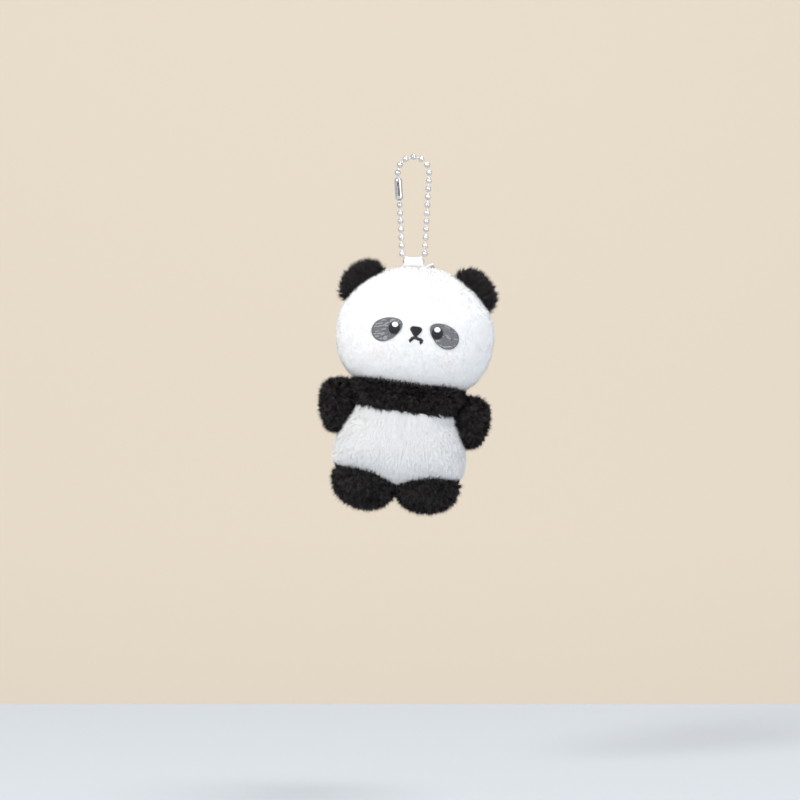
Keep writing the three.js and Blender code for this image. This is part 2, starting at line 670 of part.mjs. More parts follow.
function addEye(side, label) {
  const mirror = ([x, z]) => [side * x, z];
  const patch = ellipse(EYE_PATCH_HALF, EYE_PATCH_MIDDLE, 18, -EYE_PATCH_TILT, EYE_PATCH_TAPER);
  const patchOutline = side > 0 ? patch : patch.map(mirror).reverse();
  add(toy, `${label}_eye_patch`, stitched(patchOutline, 0), finishes.greyThread());
  const pupil = ellipse(PUPIL_HALF, mirror(PUPIL_MIDDLE), 12);
  add(toy, `${label}_pupil`, stitched(pupil, 1), finishes.blackThread());
  const light = ellipse(EYE_LIGHT_HALF, mirror(EYE_LIGHT_MIDDLE), 8);
  add(toy, `${label}_eye_highlight`, stitched(light, 2), finishes.whiteThread());
}

function addNose() {
  const outline = outlineOf((angle) => {
    const narrow = 1 + NOSE_TAPER * Math.sin(angle);
    return [
      NOSE_MIDDLE[0] + NOSE_HALF[0] * Math.cos(angle) * narrow,
      NOSE_MIDDLE[1] + NOSE_HALF[1] * Math.sin(angle),
    ];
  }, 12);
  add(toy, 'nose', stitched(outline, 0), finishes.blackThread());
}

function strokeOutline(from, to) {
  const angle = Math.atan2(to[1] - from[1], to[0] - from[0]);
  const length = Math.hypot(to[0] - from[0], to[1] - from[1]);
  return outlineOf((turn) => {
    const along = (Math.cos(turn) > 0 ? length : 0) + MOUTH_STROKE * Math.cos(turn);
    const across = MOUTH_STROKE * Math.sin(turn);
    return [
      from[0] + along * Math.cos(angle) - across * Math.sin(angle),
      from[1] + along * Math.sin(angle) + across * Math.cos(angle),
    ];
  }, 8);
}

function addMouth() {
  const x = NOSE_MIDDLE[0];
  const top = NOSE_MIDDLE[1] - NOSE_HALF[1] - THREAD_GAP - MOUTH_STROKE;
  const fork = [x, top - MOUTH_DROP + MOUTH_STROKE];
  const strokes = [
    [[x, top], fork],
    [fork, [x - MOUTH_REACH[0], fork[1] - MOUTH_REACH[1]]],
    [fork, [x + MOUTH_REACH[0], fork[1] - MOUTH_REACH[1]]],
  ];
  const [stem, ...hooks] = strokes.map(([from, to]) => stitched(strokeOutline(from, to), 0));
  add(toy, 'mouth', hooks.reduce((whole, hook) => whole.add(hook), stem), finishes.blackThread());
}

// ---------------------------------------------------------------------------
// Assembly
// ---------------------------------------------------------------------------
addTopBall();
addStrand(1, 'right');
addStrand(-1, 'left');
addBottomBall();
addConnector();
addHangingLoop();
addHead();
addTorso();
for (const [side, label] of [[1, 'right'], [-1, 'left']]) {
  addEar(side, label);
  addLimbs(side, label);
  addEye(side, label);
}
addNose();
addMouth();

export default keychain;
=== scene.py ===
"""Looks for the plush keychain: stuffed skins with strand fur, stitched face, ribbon and ball chain."""
import json
import math

import bpy
import numpy as np
from mathutils import Matrix, Vector
from mathutils.bvhtree import BVHTree


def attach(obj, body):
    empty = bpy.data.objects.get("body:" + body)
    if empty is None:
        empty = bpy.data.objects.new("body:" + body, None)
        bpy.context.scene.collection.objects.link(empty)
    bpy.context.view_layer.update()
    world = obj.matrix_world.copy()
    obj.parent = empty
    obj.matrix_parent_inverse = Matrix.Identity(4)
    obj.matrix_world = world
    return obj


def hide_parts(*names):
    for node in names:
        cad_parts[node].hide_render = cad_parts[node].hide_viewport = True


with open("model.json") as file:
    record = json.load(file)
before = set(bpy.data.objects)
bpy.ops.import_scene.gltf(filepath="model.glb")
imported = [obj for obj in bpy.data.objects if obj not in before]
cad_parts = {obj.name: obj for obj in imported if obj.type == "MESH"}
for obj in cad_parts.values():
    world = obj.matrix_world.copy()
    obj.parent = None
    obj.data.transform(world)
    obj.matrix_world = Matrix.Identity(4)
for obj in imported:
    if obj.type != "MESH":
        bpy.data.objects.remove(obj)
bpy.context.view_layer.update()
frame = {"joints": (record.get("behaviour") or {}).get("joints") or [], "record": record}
MM = 0.001
JOINTS = {j["name"]: j for j in frame["joints"]}
BODY_OF = {n: b for b, ns in frame["record"]["behaviour"]["bodies"].items() for n in ns}
SIDES = (("left", -1), ("right", 1))

# ===== Sizes in millimetres, near the CAD part's and shaped to the outline of the real plush =====
LEG_HINGE = -60.0
HEAD_HALF_WIDTH, HEAD_RISE, HEAD_DROP, HEAD_HALF_DEPTH, HEAD_LEVEL = 31.0, 25.5, 26.0, 17.5, -1.5
CHEEK_FULLNESS = 2.45    # the lower outline is an ellipse at 2 and squarer above it
SHOULDER, WAIST, FLANK, HIP = (22.6, -25.3), (19.6, -33.0), (23.8, -42.2), (26.0, -51.5)
TORSO_TOP, TORSO_BOTTOM, TORSO_HALF_DEPTH = -18.0, -62.4, 15.0
BAND_BOTTOM = -33.4
# A limb's half sizes, its middle, the lean of its tip in degrees, and how far it narrows downwards
LIMBS = {
    "left_arm": ((7.2, 6.4, 9.9), (26.2, -34.6), 6.0, 0.38),
    "right_arm": ((7.3, 6.4, 9.3), (25.9, -34.9), 10.0, 0.3),
    "left_leg": ((12.4, 8.8, 9.5), (12.5, -63.9), 9.0, 0.16),
    "right_leg": ((12.2, 8.8, 8.7), (12.3, -63.4), 3.0, 0.16),
}
LIMB_SQUARENESS = 2.5    # as for the cheeks
EAR_ANGLES, EAR_HALF_LENGTH, EAR_HEIGHT, EAR_HALF_THICKNESS = {-1: 41.0, 1: 47.0}, 9.2, 6.3, 2.2
BALL_RADIUS, PITCH, ARC_LINKS, STRAND_LINKS, BOTTOM_SLOPE = 1.2, 3.25, 3, 10, 10.0
CONNECTOR_TOP, CONNECTOR_BOTTOM = 4, 6
RIBBON_WIDTH, RIBBON_THICKNESS = 6.0, 0.5
FUR_SINK = 0.25          # how deep a strand's root lies in the skin
GUARD_LENGTH = 1.45      # a long hair's length, of its neighbours'
WALL = 1.6               # from a limb's skin to its filling; head and torso a little more

rng = np.random.default_rng(20)

# ===== The toy's own frame: X right, Z up the toy, origin at the head's middle =====
toy_up = Vector(JOINTS["left_arm_swing"]["axis"]).normalized()
toy_right = Vector(JOINTS["left_leg_swing"]["axis"]).normalized()
toy_back = toy_up.cross(toy_right)
toy_origin = Vector(JOINTS["left_leg_swing"]["pos_m"]) - toy_up * LEG_HINGE * MM
TOY = Matrix((
    (toy_right.x, toy_back.x, toy_up.x, toy_origin.x),
    (toy_right.y, toy_back.y, toy_up.y, toy_origin.y),
    (toy_right.z, toy_back.z, toy_up.z, toy_origin.z),
    (0, 0, 0, 1),
)) @ Matrix.Scale(MM, 4)
WORLD = Matrix.Scale(MM, 4)


# ===== Materials =====
NOISE_DETAIL = 4
MOTTLE_SPAN = (0.35, 0.65)     # noise values that have the first colour and the second


def principled(name, color, roughness, **values):
    """A Principled material; values are its sockets by name, with _ for spaces."""
    mat = bpy.data.materials.new(name)
    mat.use_nodes = True
    shader = mat.node_tree.nodes["Principled BSDF"]
    shader.inputs["Base Color"].default_value = (*color, 1)
    shader.inputs["Roughness"].default_value = roughness
    for key, value in values.items():
        shader.inputs[key.replace("_", " ")].default_value = value
    return mat


def mottled(mat, color_a, color_b, scale, bump=0.0, bump_distance=0.0002):
    """Noise between two colours, and a bump of the same noise, in object space."""
    tree = mat.node_tree
    shader = tree.nodes["Principled BSDF"]
    coords = tree.nodes.new("ShaderNodeTexCoord")
    noise = tree.nodes.new("ShaderNodeTexNoise")
    noise.inputs["Scale"].default_value = scale
    noise.inputs["Detail"].default_value = NOISE_DETAIL
    tree.links.new(coords.outputs["Object"], noise.inputs["Vector"])
    ramp = tree.nodes.new("ShaderNodeValToRGB")
    for element, position, color in zip(ramp.color_ramp.elements, MOTTLE_SPAN, (color_a, color_b)):
        element.position = position
        element.color = (*color, 1)
    tree.links.new(noise.outputs["Fac"], ramp.inputs["Fac"])
    tree.links.new(ramp.outputs["Color"], shader.inputs["Base Color"])
    if bump:
        node = tree.nodes.new("ShaderNodeBump")
        node.inputs["Strength"].default_value = bump
        node.inputs["Distance"].default_value = bump_distance
        tree.links.new(noise.outputs["Fac"], node.inputs["Height"])
        tree.links.new(node.outputs["Normal"], shader.inputs["Normal"])
    return mat


def fur_shades(name, colors, roughness, sheen):
    """A plain material for each shade, because strands of one colour would look like felt."""
    return [
        principled(f"{name}_{i}", c, roughness, Sheen_Weight=sheen, Specular_IOR_Level=0.25)
        for i, c in enumerate(colors)
    ]


WHITE_FUR = fur_shades("white_fur", [(0.95, 0.95, 0.945), (0.93, 0.93, 0.93), (0.90, 0.90, 0.91)], 0.8, 0.1)
BLUSH_FUR = fur_shades("blush_fur", [(0.95, 0.83, 0.82), (0.94, 0.88, 0.87)], 0.8, 0.1)
BLACK_FUR = fur_shades("black_fur", [(0.005, 0.004, 0.005), (0.011, 0.008, 0.009), (0.045, 0.033, 0.031)],
                       0.45, 0.0)
WHITE_SKIN = mottled(principled("white_backing", (0.9, 0.9, 0.9), 0.9),
                     (0.88, 0.88, 0.88), (0.93, 0.93, 0.92), 900)
BLACK_SKIN = mottled(principled("black_backing", (0.01, 0.01, 0.01), 0.9),
                     (0.003, 0.003, 0.004), (0.007, 0.006, 0.007), 900)
FILLING = mottled(principled("fibre_fill", (0.9, 0.9, 0.88), 1.0),
                  (0.82, 0.82, 0.8), (0.92, 0.92, 0.9), 300, 0.8, 0.0004)
STEEL = mottled(principled("plated_steel", (0.7, 0.7, 0.72), 0.15, Metallic=1.0),
                (0.62, 0.62, 0.65), (0.78, 0.78, 0.79), 700, 0.08, 0.00002)
RIBBON = mottled(principled("ribbon_satin", (0.86, 0.86, 0.86), 0.5, Sheen_Weight=0.2),
                 (0.8, 0.8, 0.81), (0.9, 0.9, 0.89), 2500, 0.5, 0.00005)
# Grey painted shade for the care label's front leaf, standing in for the shadow that leaf lies in; the
# label itself is white satin
LABEL_PAINTED_SHADE = mottled(principled("label_painted_shade", (0.4, 0.4, 0.42), 0.5),
                     (0.33, 0.33, 0.35), (0.45, 0.45, 0.47), 3000, 0.2, 0.00003)
LABEL = mottled(principled("label_satin", (0.9, 0.9, 0.9), 0.45),
                (0.86, 0.86, 0.88), (0.93, 0.93, 0.93), 3000, 0.2, 0.00003)


def thread(name, light, dark, roughness=0.45):
    return mottled(principled(name, light, roughness, Sheen_Weight=0.2), dark, light, 1500, 0.3, 0.00004)


GREY_THREAD = thread("grey_thread", (0.21, 0.21, 0.225), (0.13, 0.13, 0.14), 0.32)
FLECK_THREAD = thread("fleck_thread", (0.44, 0.44, 0.46), (0.30, 0.30, 0.32), 0.32)
RIM_THREAD = thread("rim_thread", (0.17, 0.17, 0.18), (0.12, 0.12, 0.13), 0.32)
DARK_THREAD = thread("dark_thread", (0.014, 0.010, 0.016), (0.006, 0.005, 0.007), 0.3)
WHITE_THREAD = thread("white_thread", (0.95, 0.95, 0.95), (0.88, 0.88, 0.9))


# ===== Mesh helpers =====
def linked(name, data):
    obj = bpy.data.objects.new(name, data)
    bpy.context.scene.collection.objects.link(obj)
    return obj


def new_object(name, verts, faces, materials, matrix):
    """An object from points in millimetres and faces, placed in the row frame by matrix."""
    mesh = bpy.data.meshes.new(name)
    verts = np.asarray(verts, float)
    world = verts @ np.array(matrix)[:3, :3].T + np.array(matrix)[:3, 3]
    mesh.from_pydata(world.tolist(), [], [list(map(int, f)) for f in faces])
    mesh.update()
    for mat in materials if isinstance(materials, list) else [materials]:
        mesh.materials.append(mat)
    mesh.shade_smooth()
    return linked(name, mesh)


def finish_piece(obj, node_or_body, replaced=()):
    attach(obj, BODY_OF.get(node_or_body, node_or_body))
    if replaced:
        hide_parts(*replaced)
    return obj


def joined(parts):
    """Vertices and faces of several (verts, faces) pairs as one pair."""
    verts, faces, start = [], [], 0
    for v, f in parts:
        verts.append(np.asarray(v, float))
        faces += [[i + start for i in face] for face in f]
        start += len(v)
    return np.concatenate(verts), faces


def sheet_faces(rows, columns):
    """Quads of a sheet whose vertices come row after row."""
    return [(a, a + 1, a + columns + 1, a + columns)
            for row in range(rows - 1) for a in range(row * columns, (row + 1) * columns - 1)]


def shell_faces(rows, steps):
    """Faces of a closed form: a first pole, rows of steps vertices each, and a last pole."""
    faces, last = [], 1 + rows * steps
    for i in range(steps):
        j = (i + 1) % steps
        faces.append((0, 1 + i, 1 + j))
        for start in range(1, last - steps, steps):
            faces.append((start + i, start + steps + i, start + steps + j, start + j))
        faces.append((last - steps + i, last, last - steps + j))
    return faces


def thicken(sheet, thickness, offset=0):
    wall = sheet.modifiers.new("wall", "SOLIDIFY")
    wall.thickness = thickness * MM
    wall.offset = offset


# ===== Stuffed forms =====
class Form:
    """A stuffed form: an XZ outline round a middle that swells fore and aft."""

    def __init__(self, outline, middle, half_depth, swell, edge):
        self.middle = np.array(middle, float)
        self.half_depth, self.swell, self.edge = half_depth, swell, edge
        rel = np.asarray(outline, float) - self.middle
        angle = np.arctan2(rel[:, 1], rel[:, 0])
        order = np.argsort(angle)
        self.angles = angle[order]
        self.reach = np.hypot(rel[:, 0], rel[:, 1])[order]

    def edge_reach(self, angle):
        return np.interp(angle, self.angles, self.reach, period=2 * np.pi)

    def surface(self, steps, rings, grow=0.0):
        """Vertices and quads of the closed form."""
        turn = np.linspace(-np.pi, np.pi, steps, endpoint=False)
        polar = np.linspace(0, np.pi, 2 * rings + 1)
        verts = [(self.middle[0], -(self.half_depth + grow), self.middle[1])]
        for p in polar[1:-1]:
            share = math.sin(p)
            depth = (self.half_depth + grow) * max(0.0, 1 - share ** self.swell) ** self.edge
            side = -1 if p < np.pi / 2 else 1
            reach = (self.edge_reach(turn) + grow) * share
            for a, r in zip(turn, reach):
                x, z = self.middle[0] + r * math.cos(a), self.middle[1] + r * math.sin(a)
                verts.append((x, side * depth, z))
        verts.append((self.middle[0], self.half_depth + grow, self.middle[1]))
        return np.array(verts), shell_faces(2 * rings - 1, steps)

    def depth_inside(self, points):
        """How far each point lies inside the form, in millimetres, negative outside."""
        rel = points[:, [0, 2]] - self.middle
        reach = np.hypot(rel[:, 0], rel[:, 1])
        edge = self.edge_reach(np.arctan2(rel[:, 1], rel[:, 0]))
        share = np.clip(reach / edge, 0, 1)
        depth = self.half_depth * (1 - share ** self.swell) ** self.edge - np.abs(points[:, 1])
        return np.minimum(depth, edge - reach)


def head_outline():
    points = []
    for a in np.linspace(0, 2 * np.pi, 120, endpoint=False):
        low = math.sin(a) < 0
        power = 2 / CHEEK_FULLNESS if low else 1.0
        x = math.copysign(abs(math.cos(a)) ** power, math.cos(a))
        z = math.copysign(abs(math.sin(a)) ** power, math.sin(a))
        points.append((HEAD_HALF_WIDTH * x, HEAD_LEVEL + (HEAD_DROP if low else HEAD_RISE) * z))
    return points


def smooth_loop(points, per_span=14):
    """A closed Catmull-Rom curve through points."""
    p = np.asarray(points, float)
    out = []
    for i in range(len(p)):
        a, b, c, d = p[i - 1], p[i], p[(i + 1) % len(p)], p[(i + 2) % len(p)]
        for t in np.linspace(0, 1, per_span, endpoint=False):
            out.append(0.5 * (2 * b + (c - a) * t + (2 * a - 5 * b + 4 * c - d) * t * t
                              + (3 * b - a - 3 * c + d) * t ** 3))
    return np.array(out)


def torso_outline():
    right = [
        (SHOULDER[0] * 0.7, TORSO_TOP - 1.5), SHOULDER, WAIST,
        FLANK, HIP,
        (HIP[0] * 0.93, (HIP[1] + TORSO_BOTTOM) / 2 - 0.5), (HIP[0] * 0.5, TORSO_BOTTOM + 2.3),
    ]
    left = [(-x, z) for x, z in reversed(right)]
    return smooth_loop([(0, TORSO_TOP), *right, (0, TORSO_BOTTOM), *left])


HEAD = Form(head_outline(), (0, HEAD_LEVEL), HEAD_HALF_DEPTH, 2.0, 0.62)
TORSO = Form(torso_outline(), (0, (TORSO_TOP + TORSO_BOTTOM) / 2), TORSO_HALF_DEPTH, 3.0, 0.5)


def ear_form(side):
    angle = math.radians(EAR_ANGLES[side])
    out = (side * math.cos(angle), math.sin(angle))
    along = (math.sin(angle), -side * math.cos(angle))
    root = (side * HEAD_HALF_WIDTH * math.cos(angle), HEAD_LEVEL + HEAD_RISE * math.sin(angle))
    outline = []
    for a in np.linspace(0, 2 * np.pi, 60, endpoint=False):
        u, v = EAR_HALF_LENGTH * math.cos(a), EAR_HEIGHT * math.sin(a)
        outline.append((root[0] + u * along[0] + v * out[0], root[1] + u * along[1] + v * out[1]))
    return Form(outline, root, EAR_HALF_THICKNESS, 3.0, 0.5)


def limb_surface(half, middle, spread, taper, side, steps=48, rings=26):
    """Vertices and faces of an egg-shaped pouch, its tip turned outwards by spread degrees."""
    verts = [(0, 0, half[2])]
    for i in range(1, rings):
        p = math.pi * i / rings
        out = math.sin(p) ** (2 / LIMB_SQUARENESS)
        rise = math.copysign(abs(math.cos(p)) ** (2 / LIMB_SQUARENESS), math.cos(p))
        for k in range(steps):
            a = 2 * math.pi * k / steps
            verts.append((half[0] * out * math.cos(a), half[1] * out * math.sin(a), half[2] * rise))
    verts.append((0, 0, -half[2]))
    verts = np.array(verts)
    verts[:, 0] *= 1 + taper * verts[:, 2] / half[2]
    turn = np.array(Matrix.Rotation(-side * math.radians(spread), 3, "Y"))
    return verts @ turn.T + np.array((side * middle[0], 0, middle[1])), shell_faces(rings - 1, steps)


# ===== Cloth: a stuffed skin swells under pressure and wrinkles a little at its seams =====
SIM_SCALE = 20.0     # cloth behaves better on a form about a metre across
START_SHARE = 0.94   # the cloth starts at this share of the form's size
PRESSURE, CLOTH_FRAMES = 4, 20
SEAM_PULL = 4.0      # how far the seam holds the cloth back, in millimetres


def modified(obj, kind, **values):
    """The modifier of that kind put on and applied at once."""
    modifier = obj.modifiers.new(kind.lower(), kind)
    for key, value in values.items():
        setattr(modifier, key, value)
    bpy.ops.object.modifier_apply(modifier=modifier.name)


def inflated(name, verts, faces, voxel=1.7, cap=1.0):
    """The form pressed out by cloth from a slightly smaller start, then brought to the form's own size."""
    verts = np.asarray(verts, float)
    low, high = verts.min(0), verts.max(0)
    start_verts = (low + high) / 2 + (verts - (low + high) / 2) * START_SHARE
    obj = new_object(name + "_sim", start_verts, faces, [], Matrix.Scale(MM * SIM_SCALE, 4))
    scene = bpy.context.scene
    bpy.context.view_layer.objects.active = obj
    obj.select_set(True)
    modified(obj, "REMESH", mode="VOXEL", voxel_size=voxel * MM * SIM_SCALE)
    start = np.array([v.co for v in obj.data.vertices])
    cloth = obj.modifiers.new("cloth", "CLOTH")
    cloth.settings.use_pressure = True
    cloth.settings.uniform_pressure_force = PRESSURE
    cloth.settings.effector_weights.gravity = 0
    for number in range(1, CLOTH_FRAMES + 1):
        scene.frame_set(number)
    bpy.ops.object.modifier_apply(modifier=cloth.name)
    scene.frame_set(1)
    moved = np.array([v.co for v in obj.data.vertices]) - start
    limit = cap * MM * SIM_SCALE
    length = np.linalg.norm(moved, axis=1, keepdims=True)
    moved *= np.minimum(1, limit / np.maximum(length, 1e-9))
    from_seam = np.abs(start[:, 1:2]) / (SEAM_PULL * MM * SIM_SCALE)
    moved *= 0.3 + 0.7 * np.clip(from_seam, 0, 1)
    obj.data.vertices.foreach_set("co", (start + moved).ravel())
    modified(obj, "SMOOTH", iterations=2, factor=0.5)
    modified(obj, "SUBSURF", levels=1)
    result = np.array([v.co for v in obj.data.vertices]) / (MM * SIM_SCALE)
    polys = [tuple(p.vertices) for p in obj.data.polygons]
    bpy.data.objects.remove(obj)
    share = (result - result.min(0)) / (result.max(0) - result.min(0))
    return low + share * (high - low), polys


def part_of(verts, faces, keep):
    """The faces whose middle passes keep(middles), with only the vertices they use."""
    middles = np.array([verts[list(f)].mean(0) for f in faces])
    chosen = [faces[i] for i in np.flatnonzero(keep(middles))]
    used = np.unique(np.concatenate([np.array(f) for f in chosen]))
    index = np.full(len(verts), -1)
    index[used] = np.arange(len(used))
    return verts[used], [tuple(index[list(f)]) for f in chosen]


def to_outline(verts, form, grow, bins=72):
    """The form's own outline again, after the cloth has rounded it: points slide out from the middle."""
    rel = verts[:, [0, 2]] - form.middle
    angle, reach = np.arctan2(rel[:, 1], rel[:, 0]), np.hypot(rel[:, 0], rel[:, 1])
    number = ((angle + np.pi) / (2 * np.pi) * bins).astype(int) % bins
    widest = np.array([reach[number == k].max() for k in range(bins)])
    centres = (np.arange(bins) + 0.5) / bins * 2 * np.pi - np.pi
    ratio = (form.edge_reach(centres) + grow) / widest
    scale = 1 + (np.interp(angle, centres, ratio, period=2 * np.pi) - 1) * (reach / reach.max()) ** 2
    moved = verts.copy()
    moved[:, 0] = form.middle[0] + rel[:, 0] * scale
    moved[:, 2] = form.middle[1] + rel[:, 1] * scale
    return moved


# ===== Fur: tapered mesh strands rooted in a skin =====
def vertex_normals(verts, tris):
    cross = np.cross(verts[tris[:, 1]] - verts[tris[:, 0]], verts[tris[:, 2]] - verts[tris[:, 0]])
    normals = np.zeros_like(verts)
    for corner in range(3):
        np.add.at(normals, tris[:, corner], cross)
    return normals / np.maximum(np.linalg.norm(normals, axis=1, keepdims=True), 1e-9), cross


def unit(v):
    return v / np.maximum(np.linalg.norm(v, axis=1, keepdims=True), 1e-9)


def fur(name, skin, materials, count, length, width, comb=(0, 0, -1), flow=0.5, mess=0.25,
        clump=1.3, gather=0.35, bare=None, pick=None, soft=0.8, guard=0.0):
    """Strands of two spans each on a skin, gathered into small tufts. Returns the object.

    The pile lies towards comb by flow. Tufts are clump wide, lean apart by mess, and draw their tips in by
    gather. Nothing grows where bare(roots) is true, and pick(roots, shades) may change the shades. A share
    guard of the hairs is long. The shading follows the skin by soft and the strand by the rest.
    """
    verts, faces = skin
    tris = np.array([t for f in faces for t in [(f[0], f[i], f[i + 1]) for i in range(1, len(f) - 1)]])
    normals, cross = vertex_normals(verts, tris)
    area = np.linalg.norm(cross, axis=1)
    chosen = rng.choice(len(tris), count, p=area / area.sum())
    a, b = rng.random(count), rng.random(count)
    flip = a + b > 1
    a[flip], b[flip] = 1 - a[flip], 1 - b[flip]
    weights = np.stack([1 - a - b, a, b], axis=1)[:, :, None]
    root = (verts[tris[chosen]] * weights).sum(1)
    up = unit((normals[tris[chosen]] * weights).sum(1))
    if bare is not None:
        kept = ~bare(root)
        root, up = root[kept], up[kept]
    n = len(root)
    cells = np.floor(root / clump).astype(int)
    _, cell = np.unique(cells, axis=0, return_inverse=True)
    cell = cell.ravel()
    total = np.bincount(cell).astype(float)
    centre = np.stack([np.bincount(cell, root[:, k]) / total for k in range(3)], axis=1)[cell]
    lean = rng.normal(0, mess, (cell.max() + 1, 3))[cell]
    way = comb(root) if callable(comb) else np.tile(np.array(comb, float), (n, 1))
    down = way - up * (up * way).sum(1)[:, None]
    long = length * rng.uniform(0.72, 1.15, n)[:, None]
    long *= np.where(rng.random(n) < guard, GUARD_LENGTH, 1)[:, None]
    start = unit(up + down * flow * 0.5 + lean * 0.5 + rng.normal(0, 0.12, (n, 3)))
    toward = (centre - root) / clump
    end = unit(start + down * flow * 0.7 + toward * gather + lean + rng.normal(0, 0.1, (n, 3)))
    p0 = root - up * FUR_SINK
    p1 = p0 + start * long * 0.5
    p2 = p1 + end * long * 0.55
    across = unit(np.cross(up + rng.normal(0, 0.5, (n, 3)), end))
    across *= np.where((np.cross(across, end) * up).sum(1) < 0, -1, 1)[:, None] * width / 2
    points = np.stack([p0 - across, p0 + across, p1 - across * 0.75, p1 + across * 0.75, p2], axis=1)
    first = np.arange(n)[:, None] * 5
    strand = np.array([[0, 1, 3], [0, 3, 2], [2, 3, 4]])
    tri = (first[:, :, None] + strand[None]).reshape(-1, 3)
    world = points.reshape(-1, 3) @ np.array(TOY)[:3, :3].T + np.array(TOY)[:3, 3]
    mesh = bpy.data.meshes.new(name)
    mesh.vertices.add(len(world))
    mesh.vertices.foreach_set("co", world.astype(np.float32).ravel())
    mesh.loops.add(tri.size)
    mesh.loops.foreach_set("vertex_index", tri.astype(np.int32).ravel())
    mesh.polygons.add(len(tri))
    mesh.polygons.foreach_set("loop_start", np.arange(0, tri.size, 3, dtype=np.int32))
    shade = rng.choice(3, n, p=[0.45, 0.4, 0.15])
    if pick is not None:
        shade = pick(root, shade)
    mesh.polygons.foreach_set("material_index", np.repeat(shade, 3).astype(np.int32))
    mesh.update()
    mesh.validate()
    for mat in materials:
        mesh.materials.append(mat)
    mesh.shade_smooth()
    face = unit(np.cross(across, end))
    shading = np.repeat(unit(up * soft + face * (1 - soft)), 5, axis=0)
    turned = shading @ (np.array(TOY)[:3, :3].T / MM)
    mesh.normals_split_custom_set_from_vertices(turned.tolist())
    return linked(name, mesh)


def fur_piece(name, skin, body, slot, shades, **pile):
    return finish_piece(fur(name, skin, shades, **pile), body)


# ===== Skins: cut from the pressed forms, with a filling inside each =====
def skin_piece(name, skin, material, body, replaced):
    obj = new_object(name, *skin, material, TOY)
    finish_piece(obj, body, replaced)
    return obj


def filling(name, verts, faces, body, replaced):
    obj = new_object(name, verts, faces, FILLING, TOY)
    finish_piece(obj, body, (replaced,))
    return obj


SKIN_INSET = -0.25       # how far the limbs' skins lie outside their forms
HEAD_GROW, TORSO_GROW = 0.3, 0.1     # the same for the head and the torso
BAND_SAG, BAND_RISE = 0.6, 1.8


def head_and_torso():
    """The head's whole skin and the torso's, each as (vertices, faces)."""
    head, head_faces = inflated("head", *HEAD.surface(96, 24, HEAD_GROW))
    torso, torso_faces = inflated("torso", *TORSO.surface(96, 24, TORSO_GROW))
    head, torso = to_outline(head, HEAD, HEAD_GROW), to_outline(torso, TORSO, TORSO_GROW)
    return (head, head_faces), (torso, torso_faces)


def band_edge(x):
    """Height of the seam under the chest band, which rises a little towards the arms."""
    return BAND_BOTTOM - BAND_SAG + BAND_RISE * (x / SHOULDER[0]) ** 2


head_skin, torso_skin = head_and_torso()


def front(points):
    return points[:, 1] < 0


def back(points):
    return points[:, 1] >= 0


def above_band_edge(points):
    return points[:, 2] > band_edge(points[:, 0])


HALVES = (("front", front), ("back", back))
head_front, head_back = part_of(*head_skin, front), part_of(*head_skin, back)
cuts = {}
for half, keep in HALVES:
    cuts[f"chest_band_{half}"] = part_of(*torso_skin, lambda m, k=keep: k(m) & above_band_edge(m))
    cuts[f"belly_{half}_panel"] = part_of(*torso_skin, lambda m, k=keep: k(m) & ~above_band_edge(m))

skin_piece("head_front_skin", head_front, WHITE_SKIN, "toy", ("head_front_panel",))
skin_piece("head_back_skin", head_back, WHITE_SKIN, "toy", ("head_back_panel",))
for half in ("front", "back"):
    band, belly = f"chest_band_{half}", f"belly_{half}_panel"
    skin_piece(f"band_{half}_skin", cuts[band], BLACK_SKIN, "toy", (band,))
    skin_piece(f"belly_{half}_skin", cuts[belly], WHITE_SKIN, "toy", (belly,))
filling("head_filling", *HEAD.surface(48, 12, SKIN_INSET - WALL), "toy", "head_stuffing")
filling("body_filling", *TORSO.surface(48, 12, SKIN_INSET - WALL), "toy", "body_stuffing")

# ===== Face: embroidery laid on the front of the head =====
face_tree = BVHTree.FromPolygons([Vector(v) for v in head_front[0]], head_front[1])
PATCH_MIDDLE, PATCH_HALF, PATCH_TILT, PATCH_TAPER = (11.2, -2.0), (6.3, 4.3), 30.0, 0.2
PUPIL_MIDDLE, PUPIL_HALF = (8.4, -1.4), (2.2, 2.6)
HIGHLIGHT_MIDDLE, HIGHLIGHT_HALF = (8.2, -0.1), (1.25, 0.95)
NOSE_MIDDLE, NOSE_HALF = (0.1, -1.5), (2.2, 1.9)
MOUTH_STROKES = (
    ((0.2, -2.9), (0.2, -4.5)),
    ((0.2, -4.2), (-0.8, -4.5), (-1.9, -5.9)),
    ((0.5, -4.2), (1.3, -4.6), (2.4, -4.7), (3.0, -5.3), (2.3, -6.1)),
)
PATCH_LIFT, PUPIL_LIFT, HIGHLIGHT_LIFT, NOSE_LIFT, MOUTH_LIFT = 0.55, 0.95, 1.25, 0.72, 0.5
BED_DROP = 0.12          # the underlay lies this far below its stitches
SATIN = {"spacing": 0.27, "length": 9, "width": 0.3}
PATCH_FILL = {"spacing": 0.5, "length": 1.7, "width": 0.42}
PATCH_RIM = {"inward": 0.75, "spacing": 0.22, "width": 0.26, "sweep": 0.25}
STITCH_SINK, STITCH_BULGE = 0.06, 0.8
MOUTH_HALF_WIDTH, MOUTH_STEP, MOUTH_SLANT, MOUTH_THREAD = 0.6, 0.2, 0.25, 0.28
BEFORE_FACE = -60        # a place in front of the whole head
MOUTH_BARE = 0.55        # no pile this near the mouth's line
FLECK_SHARES = {-1: 0.42, 1: 0.16}     # light stitches in each patch, by side


def face_point(x, z, lift):
    """The place on the front of the head at (x, z), lifted off the skin."""
    hit, normal, _, _ = face_tree.ray_cast(Vector((x, BEFORE_FACE, z)), Vector((0, 1, 0)))
    if normal.y > 0:
        normal = -normal
    return np.array(hit + normal * lift)


